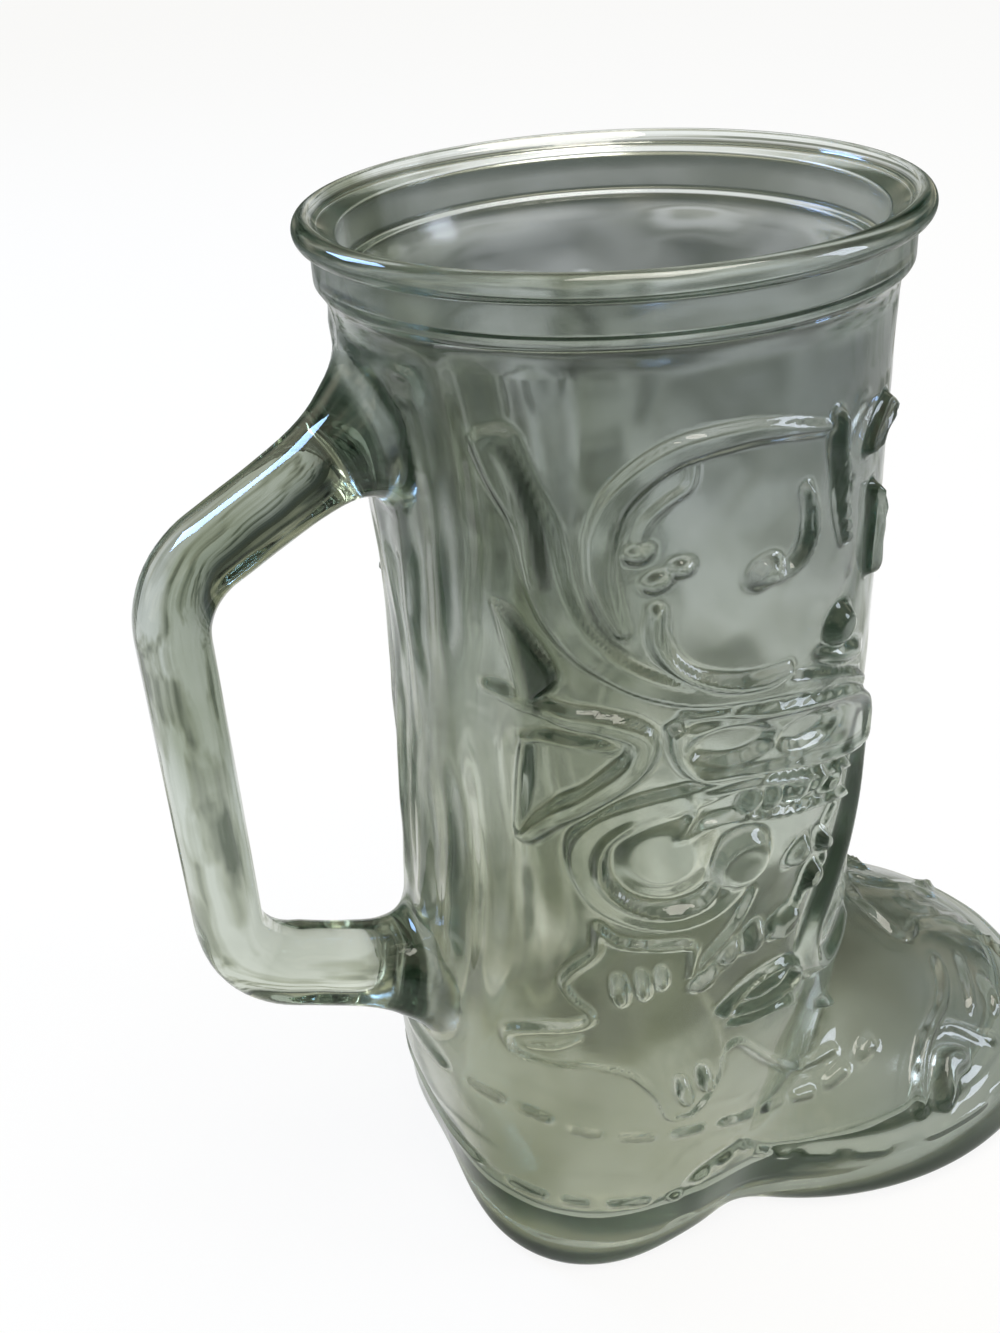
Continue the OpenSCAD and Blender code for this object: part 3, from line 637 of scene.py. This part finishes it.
def meshOf(name, points, faces):
    # points are in mm round the mouth's axis; the mesh is in metres in the part's frame
    data = bpy.data.meshes.new(name)
    data.from_pydata(((np.array(points) + (mouthX, 0, 0)) * mm).tolist(), [], faces)
    data.update()
    obj = bpy.data.objects.new(name, data)
    bpy.context.scene.collection.objects.link(obj)
    return obj


# the handle: a bar of rounded-square section in the middle plane, its ends spread into the wall
bar = {
    "gripX": -handleLow.x / mm + mouthX - 4.86,         # half the bar in from its back
    "topZ": legTopZ - 28.5, "lowZ": 54.0,
    "rootTopZ": legTopZ - 13.5, "rootLowZ": 43.0, "cornerR": 13.0,
    "thick": 9.6, "thickLow": 11.6, "width": 12.0, "section": 2.6,
    "around": 40, "flareTop": 1.05, "flareLow": 0.62, "flareWidth": 1.0, "flareLength": 3.0,
    "rootRings": (-2.2, -1.1, 0, 0.5, 1, 1.6, 2.3, 3.1, 4, 5, 6.2, 7.6, 9.2),      # mm from the wall
    "armRings": (11, 12), "gripRings": 34,              # the arm's first ring past the root and their number
    "leans": 12, "leanFade": 5, "ripple": (13, 0.05),   # near the wall a ring leans to lie along it
}


def bentCorner(p, q, s, steps=14):
    # a smooth bend from the line p-q to the line q-s
    u, w = (p - q) / np.linalg.norm(p - q), (s - q) / np.linalg.norm(s - q)
    half = (math.pi - math.acos(u @ w)) / 2
    d = bar["cornerR"] * math.tan(half)
    a, b = q + u * d, q + w * d
    centre = q + (u + w) / np.linalg.norm(u + w) * bar["cornerR"] / math.cos(half)
    out = []
    for t in np.linspace(0, 1, steps):
        v = (1 - t) * (a - centre) + t * (b - centre)
        out.append(centre + v / np.linalg.norm(v) * bar["cornerR"])
    return out


def handleMesh(name):
    # rings along the bar's middle line, from inside the wall under the collar to inside the wall at the heel
    top, low = np.array([-bar["gripX"], bar["topZ"]]), np.array([-bar["gripX"], bar["lowZ"]])

    def wallPoint(z):
        return np.array([-float(skin(np.array([math.pi]), np.array([z]))[0]), z])

    rootTop, rootLow = wallPoint(bar["rootTopZ"]), wallPoint(bar["rootLowZ"])
    bendTop, bendLow = bentCorner(rootTop, top, low), bentCorner(top, low, rootLow)

    def arm(root, corner):
        length = np.linalg.norm(corner - root)
        u = (corner - root) / length
        first, count = bar["armRings"]
        steps = np.concatenate([bar["rootRings"], np.linspace(first, length, count)[:-1]])
        return [root + u * d for d in steps], steps

    topArm, topD = arm(rootTop, bendTop[0])
    lowArm, lowD = arm(rootLow, bendLow[-1])
    grip = [bendTop[-1] + (bendLow[0] - bendTop[-1]) * t for t in np.linspace(0, 1, bar["gripRings"])[1:-1]]
    path = topArm + bendTop + grip + bendLow + lowArm[::-1]
    n = len(path)
    farOff = 99      # mm from the wall, for the rings that no root reaches
    d = np.array(list(topD) + [farOff] * (n - len(topD) - len(lowD)) + list(lowD)[::-1])
    isLow = np.arange(n) >= n // 2
    bendShare = np.clip((np.arange(n) - (n - len(lowD) - len(bendLow))) / len(bendLow), 0, 1)
    thick = bar["thick"] + (bar["thickLow"] - bar["thick"]) * bendShare
    spread = np.exp(-np.maximum(d, 0) / bar["flareLength"])
    thick = thick * (1 + np.where(isLow, bar["flareLow"], bar["flareTop"]) * spread)
    width = bar["width"] * (1 + bar["flareWidth"] * spread)
    rings = []
    around = np.linspace(0, 2 * math.pi, bar["around"], endpoint=False)
    e = 2 / bar["section"]
    ca = np.sign(np.cos(around)) * np.abs(np.cos(around)) ** e
    sa = np.sign(np.sin(around)) * np.abs(np.sin(around)) ** e
    for i in range(n):
        t = path[min(i + 1, n - 1)] - path[max(i - 1, 0)]
        t = t / np.linalg.norm(t)
        px = path[i][0] - t[1] * ca * thick[i] / 2
        pz = path[i][1] + t[0] * ca * thick[i] / 2
        py = sa * width[i] / 2
        if d[i] < bar["leans"]:
            out = -t if i < n / 2 else t
            out = out if out[0] < 0 else -out
            for _ in range(4):
                want = skin(np.arctan2(py, px), pz) + d[i]
                gap = (want - np.hypot(px, py)) * math.exp(-max(d[i], 0) / bar["leanFade"])
                px, pz = px + gap * out[0], pz + gap * out[1]
                if d[i] > 0:
                    break
        rings.append(np.stack([px, py, pz], 1))
    rings = np.array(rings)
    size, depth = bar["ripple"]
    rings += (depth * ripple(rings[..., 0] * 1.5, rings[..., 1], rings[..., 2], size))[..., None] * (0, 1, 0)
    m, k = rings.shape[:2]
    points = np.vstack([rings.reshape(-1, 3), [rings[0].mean(0)], [rings[-1].mean(0)]])
    faces = []
    for j in range(m - 1):
        faces += [[j * k + i, j * k + (i + 1) % k, (j + 1) * k + (i + 1) % k, (j + 1) * k + i]
                  for i in range(k)]
    faces += [[m * k, (i + 1) % k, i] for i in range(k)]
    faces += [[m * k + 1, (m - 1) * k + i, (m - 1) * k + (i + 1) % k] for i in range(k)]
    return meshOf(name, points, faces)


def closeFacingOut(obj):
    # turns the faces so that their normals point out of the glass, and gives its volume in cubic metres
    bm = bmesh.new()
    bm.from_mesh(obj.data)
    if bm.calc_volume(signed=True) < 0:
        bmesh.ops.reverse_faces(bm, faces=bm.faces)
    bm.to_mesh(obj.data)
    volume = bm.calc_volume(signed=True)
    bm.free()
    return volume


def fuse(body, other):
    # one closed glass: the handle is joined to the wall
    mod = body.modifiers.new("join", "BOOLEAN")
    mod.operation, mod.solver, mod.object = "UNION", "MANIFOLD", other
    made = body.evaluated_get(bpy.context.evaluated_depsgraph_get())
    data = bpy.data.meshes.new_from_object(made)
    body.modifiers.clear()
    body.data = data
    bpy.data.objects.remove(other)
    data.name = body.name


def skinPlaces(obj):
    # each vertex in mm round the mouth's axis, and how far it stands out past the plain skin
    co = np.empty(len(obj.data.vertices) * 3, np.float32)
    obj.data.vertices.foreach_get("co", co)
    co = co.reshape(-1, 3).astype(float) / mm - (mouthX, 0, 0)
    return co, np.hypot(co[:, 0], co[:, 1]) - skin(np.arctan2(co[:, 1], co[:, 0]), co[:, 2])


# fire polish rounds off the crease where each root meets the wall
polish = {
    "rounds": 14, "share": 0.6,
    "roots": [(bar["rootTopZ"], 14), (bar["rootLowZ"], 12)], "half": 14,    # (z, half height), half width
    "fades": (1.05, 1.3), "middle": 0.5, "reach": (1.8, 3.4), "outside": -1.5,      # past the skin, in mm
}


def easeRoots(obj):
    # moves each vertex round a root towards the middle of its neighbours, a few times over
    co, lift = skinPlaces(obj)
    edges = np.empty(len(obj.data.edges) * 2, np.int32)
    obj.data.edges.foreach_get("vertices", edges)
    edges = edges.reshape(-1, 2)
    degree = np.bincount(edges.ravel(), minlength=len(co))
    amount = np.zeros(len(co))
    for z, tall in polish["roots"]:
        ring = np.hypot(co[:, 1] / polish["half"], (co[:, 2] - z) / tall)
        amount = np.maximum(amount, fall(ring, *polish["fades"]) * (co[:, 0] < 0))
    amount *= fall(np.abs(lift - polish["middle"]), *polish["reach"]) * (lift > polish["outside"])
    for _ in range(polish["rounds"]):
        total = np.zeros_like(co)
        np.add.at(total, edges[:, 0], co[edges[:, 1]])
        np.add.at(total, edges[:, 1], co[edges[:, 0]])
        co += (total / np.maximum(degree, 1)[:, None] - co) * (polish["share"] * amount)[:, None]
    obj.data.vertices.foreach_set("co", ((co + (mouthX, 0, 0)) * mm).astype(np.float32).ravel())
    obj.data.update()


def mark(obj, name, shares):
    # a value from 0 to 1 at each vertex, which the glass reads by its name
    obj.data.attributes.new(name, "FLOAT", "POINT").data.foreach_set("value", shares.astype(np.float32))


# where the skin stays mat: deeper than cavity past the plain skin, inside the collar, and under the sole
matSkin = {
    "cavity": -1.25, "cavityZ": (soleT - 0.5, height - 3.6),
    "collar": 0.2, "collarZ": (legTopZ + 3, height - 1),
    "underside": 0.9,
}


def markPressed(obj):
    # 1 where the plunger left its mat skin, and 0 on the polished outside
    co, lift = skinPlaces(obj)
    z = co[:, 2]
    pressed = z < matSkin["underside"]
    for place in ("cavity", "collar"):
        low, high = matSkin[place + "Z"]
        pressed |= (lift < matSkin[place]) & (z > low) & (z < high)
    mark(obj, "cavity", pressed)


# painted shade: where steep hollows of the ornament are painted dark green; here rise stands for that painted
# darkness, 1 at most
sideShadePaint = {
    "bands": {
        "tear": (scroll["bands"]["tear"][0], 1.7, 1.0, 0.7, 0.3),
        "innerTear": ([(-18.8, 116.4), (-18, 113.4), (-16.4, 110.6), (-14.8, 109)], 0.9, 0.9, 0.6, 0.4),
        "curl": (scroll["bands"]["curl"][0], 0.7, 0.6, 0.8, 0.4),
        "steep": (spiral["bands"]["steep"][0], 0.7, 0.6, 0.9, 0.5),
        "ankle": (spiral["bands"]["ankle"][0], 0.7, 0.6, 0.9, 0.4),
    },
    "plates": {"wedge": (scroll["plates"]["wedge"][0], 1.0, 0, 0.8)},
    "ovals": {"leaves": (spiral["ovals"]["leaves"][0][5:], 0.5, 0.8)},
    "stitch": (stitches["length"] - 0.8, stitches["gap"] + 0.8, 0.8, 0.5),
}
vampShadePaint = {
    "bands": {
        "comma": (vamp["bands"]["comma"][0], 1.6, 0.9, 0.9, 0.3),
        "cap": (vamp["bands"]["cap"][0], 0.6, 0.6, 0.7, 0.4),
    },
    "fromX": 33,
}
# painted shade at the handle's roots, which fades between two distances from a middle one, out past the skin
rootShadePaint = {"top": 0.2, "low": 0.55, "middle": 4, "fades": (1, 6), "behind": -20, "half": 14}


def markPaintedShade(obj):
    # 0 to 1 where painted shade darkens the ornament's hollows and the handle's roots
    co, lift = skinPlaces(obj)
    x, y, z = co.T
    side = Relief(x, z)
    press(side, sideShadePaint)
    for row in stitches["rows"]:
        stitchRow(side, row, *sideShadePaint["stitch"])
    front = Relief(x, np.abs(y))
    press(front, vampShadePaint)
    onVamp = (x > vampShadePaint["fromX"]) & (z < boot["vampH"])
    outside = -0.5      # mm past the plain skin
    ornamentShade = np.where(lift > outside, np.minimum(np.where(onVamp, front.height(), side.height()), 1), 0)
    roots = fall(np.abs(lift - rootShadePaint["middle"]), *rootShadePaint["fades"])
    roots *= (x < rootShadePaint["behind"]) * (np.abs(y) < rootShadePaint["half"])
    mark(obj, "deep", np.maximum(ornamentShade, roots * np.where(z < legTopZ / 2, rootShadePaint["low"], rootShadePaint["top"])))


def addNode(tree, kind, settings=None, links=None):
    # adds a node, sets its properties, colour stops and input values, and links its inputs to other nodes
    node = tree.nodes.new(kind)
    for name, value in (settings or {}).items():
        if name == "stops":
            elements = node.color_ramp.elements
            while len(elements) < len(value):
                elements.new(0.5)
            for element, (place, colour) in zip(elements, value):
                element.position, element.color = place, hexColour(colour)
        elif isinstance(name, str) and hasattr(node, name) and name not in node.inputs:
            setattr(node, name, value)
        else:
            node.inputs[name].default_value = value
    for name, source in (links or {}).items():
        tree.links.new(source, node.inputs[name])
    return node


# a colour mix node's sockets by number, because several of them share a name
mixShare, mixFirst, mixSecond, mixed = 0, 6, 7, 2


# soda-lime glass, pressed in an iron mould and fire polished: a faint grey-green body, bright skin, with
# painted light and painted shade in its tint
glassLook = {
    "leg": "#C4C8C9",           # the leg and the toe
    "hollow": "#1E281E",        # painted shade in the steep hollows of the ornament and at the handle's roots
    "mouth": "#F6F9F8",         # painted light: the collar and the bead, painted paler
    "calfPaintLight": "#E6E9E3",          # painted light: between the heel and the leg, painted paler than the leg
    "foot": "#FFFDF0",          # painted light: the heel, painted paler where more of the pale table shows through
    "paintLightZ": (20, 156), "paintLightX": (0, 40), "toeMost": 0.8,       # mm from heel to mouth, and from heel to toe
    "sole": "#8F9783", "soleShadeZ": (4, 8),         # painted shade on the sole plate, which seen edge on shows darker, and where that painted shade ends
    # painted shade: the next colour darkens upright patches beside the seam at the back
    "shade": "#7C8668", "shadeMm": 16.0,        # upright darker patches beside the seam at the back,
    "shadeX": (-12, -30), "shadeZ": (40, 65), "shadeMost": 0.9,     # which come in over these places
    "cloud": "#FFFFFF", "cloudMm": 24.0, "cloudMost": 0.25,     # soft uneven colour in the thick glass
    "absorbs": "#74A07E", "absorption": 27.0,   # per metre: long ways through the glass turn dark green
    "ior": 1.52,
    "polished": 0.015,          # roughness of the outer face
    "pressed": 0.18,            # roughness of the inner face, which blurs what lies behind it
    "rippleMm": 6.0,            # width of the mould's fine unevenness
    "rippleDepthMm": 0.05,
}


def sodaLimeGlass():
    mat = bpy.data.materials.new("sodaLimeGlass")
    mat.use_nodes = True
    tree = mat.node_tree
    tree.nodes.clear()
    place = addNode(tree, "ShaderNodeTexCoord").outputs["Object"]
    axes = addNode(tree, "ShaderNodeSeparateXYZ", links={"Vector": place})
    # how far along each stretch of an axis a place lies, 0 to 1 or to the most that glassLook gives
    along = {}
    for name, axis, most in (("paintLightZ", "Z", 1.0), ("paintLightX", "X", glassLook["toeMost"]), ("soleShadeZ", "Z", 1.0),
                             ("shadeX", "X", 1.0), ("shadeZ", "Z", glassLook["shadeMost"])):
        low, high = glassLook[name]
        stretch = addNode(tree, "ShaderNodeMapRange", {"From Min": low * mm, "From Max": high * mm,
                                                       "To Max": most}, {"Value": axes.outputs[axis]})
        along[name] = stretch.outputs["Result"]
    # painted light: the tint, paler at the heel and the collar, goes from the heel up the leg and forward to
    # the toe, over a sole painted darker as painted shade
    paintLightShare = addNode(tree, "ShaderNodeMath", {"operation": "MAXIMUM"},
                   {0: along["paintLightZ"], 1: along["paintLightX"]})
    stops = [(0.0, glassLook["foot"]), (0.45, glassLook["calfPaintLight"]), (0.8, glassLook["leg"]),
             (0.9, glassLook["leg"]), (0.95, glassLook["mouth"])]
    paintedLightTint = addNode(tree, "ShaderNodeValToRGB", {"stops": stops}, {"Fac": paintLightShare.outputs[0]})
    # painted shade: the sole plate is painted darker
    soleShaded = addNode(tree, "ShaderNodeMix", {"data_type": "RGBA", mixFirst: hexColour(glassLook["sole"])},
                    {mixShare: along["soleShadeZ"], mixSecond: paintedLightTint.outputs["Color"]})
    # painted shade: upright darker patches beside the seam at the back
    upright = addNode(tree, "ShaderNodeMapping", {"Scale": (1.0, 1.0, 0.3)}, {"Vector": place})
    streaks = addNode(tree, "ShaderNodeTexNoise", {"Scale": 1 / (glassLook["shadeMm"] * mm), "Detail": 3.0},
                      {"Vector": upright.outputs["Vector"]})
    streak = addNode(tree, "ShaderNodeMapRange", {"From Min": 0.46, "From Max": 0.58},
                     {"Value": streaks.outputs["Fac"]})
    upperBack = addNode(tree, "ShaderNodeMath", {"operation": "MULTIPLY"},
                        {0: along["shadeX"], 1: along["shadeZ"]})
    shade = addNode(tree, "ShaderNodeMath", {"operation": "MULTIPLY"},
                    {0: upperBack.outputs[0], 1: streak.outputs["Result"]})
    shaded = addNode(tree, "ShaderNodeMix", {"data_type": "RGBA", mixSecond: hexColour(glassLook["shade"])},
                     {mixShare: shade.outputs[0], mixFirst: soleShaded.outputs[mixed]})
    # soft clouds, and painted shade in the ornament's hollows and at the handle's roots
    drift = addNode(tree, "ShaderNodeTexNoise", {"Scale": 1 / (glassLook["cloudMm"] * mm), "Detail": 3.0,
                                                 "Roughness": 0.5}, {"Vector": place})
    cloud = addNode(tree, "ShaderNodeMapRange",
                    {"From Min": 0.35, "From Max": 0.7, "To Min": 0.0, "To Max": glassLook["cloudMost"]},
                    {"Value": drift.outputs["Fac"]})
    clouded = addNode(tree, "ShaderNodeMix", {"data_type": "RGBA", mixSecond: hexColour(glassLook["cloud"])},
                      {mixShare: cloud.outputs["Result"], mixFirst: shaded.outputs[mixed]})
    shadeAttribute = addNode(tree, "ShaderNodeAttribute", {"attribute_name": "deep"})
    body = addNode(tree, "ShaderNodeMix", {"data_type": "RGBA", mixSecond: hexColour(glassLook["hollow"])},
                   {mixShare: shadeAttribute.outputs["Fac"], mixFirst: clouded.outputs[mixed]})
    # the mould's fine unevenness, and a mat skin where the glass was pressed and not polished
    noise = addNode(tree, "ShaderNodeTexNoise", {"Scale": 1 / (glassLook["rippleMm"] * mm), "Detail": 1.5,
                                                 "Roughness": 0.4}, {"Vector": place})
    bump = addNode(tree, "ShaderNodeBump", {"Strength": 1.0, "Distance": glassLook["rippleDepthMm"] * mm},
                   {"Height": noise.outputs["Fac"]})
    pressed = addNode(tree, "ShaderNodeAttribute", {"attribute_name": "cavity"})
    rough = addNode(tree, "ShaderNodeMapRange",
                    {"To Min": glassLook["polished"], "To Max": glassLook["pressed"]},
                    {"Value": pressed.outputs["Fac"]})
    shader = addNode(tree, "ShaderNodeBsdfPrincipled",
                     {"IOR": glassLook["ior"], "Transmission Weight": 1.0},
                     {"Base Color": body.outputs[mixed], "Roughness": rough.outputs["Result"],
                      "Normal": bump.outputs["Normal"]})
    depth = addNode(tree, "ShaderNodeVolumeAbsorption", {"Color": hexColour(glassLook["absorbs"]),
                                                         "Density": glassLook["absorption"]})
    addNode(tree, "ShaderNodeOutputMaterial", links={"Surface": shader.outputs["BSDF"],
                                                     "Volume": depth.outputs["Volume"]})
    return mat


def dress(obj, mat):
    # one glass all over, with smooth shading
    obj.data.materials.clear()
    obj.data.materials.append(mat)
    obj.data.polygons.foreach_set("use_smooth", [True] * len(obj.data.polygons))
    obj.data.polygons.foreach_set("material_index", [0] * len(obj.data.polygons))


glass = shellMesh("boot_glass")
print("shell", len(glass.data.polygons), "faces, volume cm3", round(closeFacingOut(glass) * 1e6, 2))
handle = handleMesh("handle_bar")
print("handle", len(handle.data.polygons), "faces, volume cm3", round(closeFacingOut(handle) * 1e6, 2))
fuse(glass, handle)
easeRoots(glass)
markPressed(glass)
markPaintedShade(glass)
print("joined", len(glass.data.polygons), "faces")
dress(glass, sodaLimeGlass())
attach(glass, "root")
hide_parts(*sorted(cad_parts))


# the camera stands where the photograph was taken, in mm round the mouth's axis, a little turned about its view
view = {
    "place": (-83.53, -170.12, 197.4), "aim": (-10.48, 22.19, 78.0), "roll": -3.967,
    "lens": 39.64,
}


def placeCamera():
    data = bpy.data.cameras.new("camera")
    data.sensor_fit, data.sensor_height, data.sensor_width = "VERTICAL", 36, 27
    data.lens = view["lens"]
    data.clip_start = 0.01
    obj = bpy.data.objects.new("camera", data)
    bpy.context.scene.collection.objects.link(obj)
    place, aim = Vector(view["place"]), Vector(view["aim"])
    level = (aim - place).to_track_quat("-Z", "Y")
    obj.rotation_euler = (level @ Quaternion((0, 0, 1), math.radians(view["roll"]))).to_euler()
    obj.location = (place + Vector((mouthX, 0, 0))) * mm
    bpy.context.scene.camera = obj


placeCamera()
print("camera set")

studio = {
    "floor": "#FFFFFF", "lit": "#E8E8E6", "glow": 0.9,      # as the camera sees it, and as lamps light it
    "floorSize": 6.0, "floorDrop": 0.0003,
    # what the glass sees of the room and of the table: dark and pale patches, each at its place in the noise
    "room": [(0.38, "#1C231D"), (0.47, "#6B7268"), (0.55, "#A9A998"), (0.66, "#F3ECD2")],
    "roomScale": 2.4,
    "ceiling": "#D8D2BA",
    # painted soft shadows: the table's dark patches, as the glass sees it
    "table": [(0.36, "#6C7264"), (0.45, "#D0D1C6"), (0.53, "#FFFFFF")],
    "tableScale": 13.0,
    "tableMiddle": (0.05, 0.16, 0.0), "tableReach": (0.08, 0.6), "beyond": "#38423A",
    "aimZ": 0.09,
    "bounces": 32,      # light turns round many times inside thick glass
    "lamps": [  # name, place in m, size in m, power in W, colour, all aimed at the leg
        ("window", (-0.55, 0.75, 0.75), (0.3, 0.4), 8.0, "#9CC0FF"),
        ("overhead", (0.1, -0.1, 1.1), (0.7, 0.5), 7.0, "#FFF8EE"),
        ("side", (0.9, -0.5, 0.5), (0.25, 0.6), 4.0, "#E6EEFF"),
    ],
}


def paleFloor():
    mat = bpy.data.materials.new("paleFloor")
    mat.use_nodes = True
    tree = mat.node_tree
    tree.nodes.clear()
    place = addNode(tree, "ShaderNodeTexCoord").outputs["Object"]
    rays = addNode(tree, "ShaderNodeLightPath").outputs
    # the glass sees a table with painted soft shadows in patches, darker further from its middle, and the
    # camera sees plain white
    noise = addNode(tree, "ShaderNodeTexNoise", {"Scale": studio["tableScale"], "Detail": 3.0},
                    {"Vector": place})
    patches = addNode(tree, "ShaderNodeValToRGB", {"stops": studio["table"]}, {"Fac": noise.outputs["Fac"]})
    away = addNode(tree, "ShaderNodeVectorMath", {"operation": "DISTANCE", 1: studio["tableMiddle"]},
                   {0: place})
    near, far = studio["tableReach"]
    edge = addNode(tree, "ShaderNodeMapRange", {"From Min": near, "From Max": far},
                   {"Value": away.outputs["Value"]})
    table = addNode(tree, "ShaderNodeMix", {"data_type": "RGBA", mixSecond: hexColour(studio["beyond"])},
                    {mixShare: edge.outputs["Result"], mixFirst: patches.outputs["Color"]})
    seen = addNode(tree, "ShaderNodeMix", {"data_type": "RGBA", mixSecond: hexColour(studio["floor"])},
                   {mixShare: rays["Is Camera Ray"], mixFirst: table.outputs[mixed]})
    bright = addNode(tree, "ShaderNodeEmission", {"Strength": 1.0}, {"Color": seen.outputs[mixed]})
    # the glow shows to the camera, in reflections and through the glass, and lamps and shadows fall on the rest
    mirrored = addNode(tree, "ShaderNodeMath", {"operation": "MAXIMUM"},
                       {0: rays["Is Camera Ray"], 1: rays["Is Glossy Ray"]})
    through = addNode(tree, "ShaderNodeMath", {"operation": "MAXIMUM"},
                      {0: mirrored.outputs[0], 1: rays["Is Transmission Ray"]})
    glow = addNode(tree, "ShaderNodeMath", {"operation": "MULTIPLY", 1: studio["glow"]},
                   {0: through.outputs[0]})
    lit = addNode(tree, "ShaderNodeBsdfDiffuse", {"Color": hexColour(studio["lit"])})
    mix = addNode(tree, "ShaderNodeMixShader",
                  links={0: glow.outputs[0], 1: lit.outputs[0], 2: bright.outputs[0]})
    addNode(tree, "ShaderNodeOutputMaterial", links={"Surface": mix.outputs[0]})
    s = studio["floorSize"] / 2
    data = bpy.data.meshes.new("floor")
    data.from_pydata([(-s, -s, 0), (s, -s, 0), (s, s, 0), (-s, s, 0)], [], [(0, 1, 2, 3)])
    obj = bpy.data.objects.new("floor", data)
    obj.location.z = -studio["floorDrop"]
    obj.data.materials.append(mat)
    bpy.context.scene.collection.objects.link(obj)


def softRoom():
    world = bpy.data.worlds.new("room")
    world.use_nodes = True
    tree = world.node_tree
    tree.nodes.clear()
    rays = addNode(tree, "ShaderNodeLightPath")
    way = addNode(tree, "ShaderNodeTexCoord").outputs["Generated"]
    # dark and pale walls under a warm ceiling, which only the glass sees: the camera sees white
    noise = addNode(tree, "ShaderNodeTexNoise", {"Scale": studio["roomScale"], "Detail": 2.0}, {"Vector": way})
    patches = addNode(tree, "ShaderNodeValToRGB", {"stops": studio["room"]}, {"Fac": noise.outputs["Fac"]})
    axes = addNode(tree, "ShaderNodeSeparateXYZ", links={"Vector": way})
    up = addNode(tree, "ShaderNodeMapRange", {"From Min": 0.35, "From Max": 0.75}, {"Value": axes.outputs["Z"]})
    walls = addNode(tree, "ShaderNodeMix", {"data_type": "RGBA", mixSecond: hexColour(studio["ceiling"])},
                    {mixShare: up.outputs["Result"], mixFirst: patches.outputs["Color"]})
    room = addNode(tree, "ShaderNodeBackground", {"Strength": 1.0}, {"Color": walls.outputs[mixed]})
    white = addNode(tree, "ShaderNodeBackground", {"Color": hexColour("#FFFFFF"), "Strength": 1.0})
    mix = addNode(tree, "ShaderNodeMixShader",
                  links={0: rays.outputs["Is Camera Ray"], 1: room.outputs[0], 2: white.outputs[0]})
    addNode(tree, "ShaderNodeOutputWorld", links={"Surface": mix.outputs[0]})
    bpy.context.scene.world = world


def softLamps():
    aim = Vector((mouthX * mm, 0, studio["aimZ"]))
    for name, place, size, power, colour in studio["lamps"]:
        data = bpy.data.lights.new(name, "AREA")
        data.shape, data.size, data.size_y, data.energy = "RECTANGLE", size[0], size[1], power
        data.color = hexColour(colour)[:3]
        obj = bpy.data.objects.new(name, data)
        obj.location = place
        obj.rotation_euler = (aim - Vector(place)).to_track_quat("-Z", "Y").to_euler()
        bpy.context.scene.collection.objects.link(obj)


paleFloor()
softRoom()
softLamps()
bpy.context.scene.view_settings.view_transform = "Standard"
for kind in ("max_bounces", "glossy_bounces", "transmission_bounces"):
    setattr(bpy.context.scene.cycles, kind, studio["bounces"])
print("studio set")
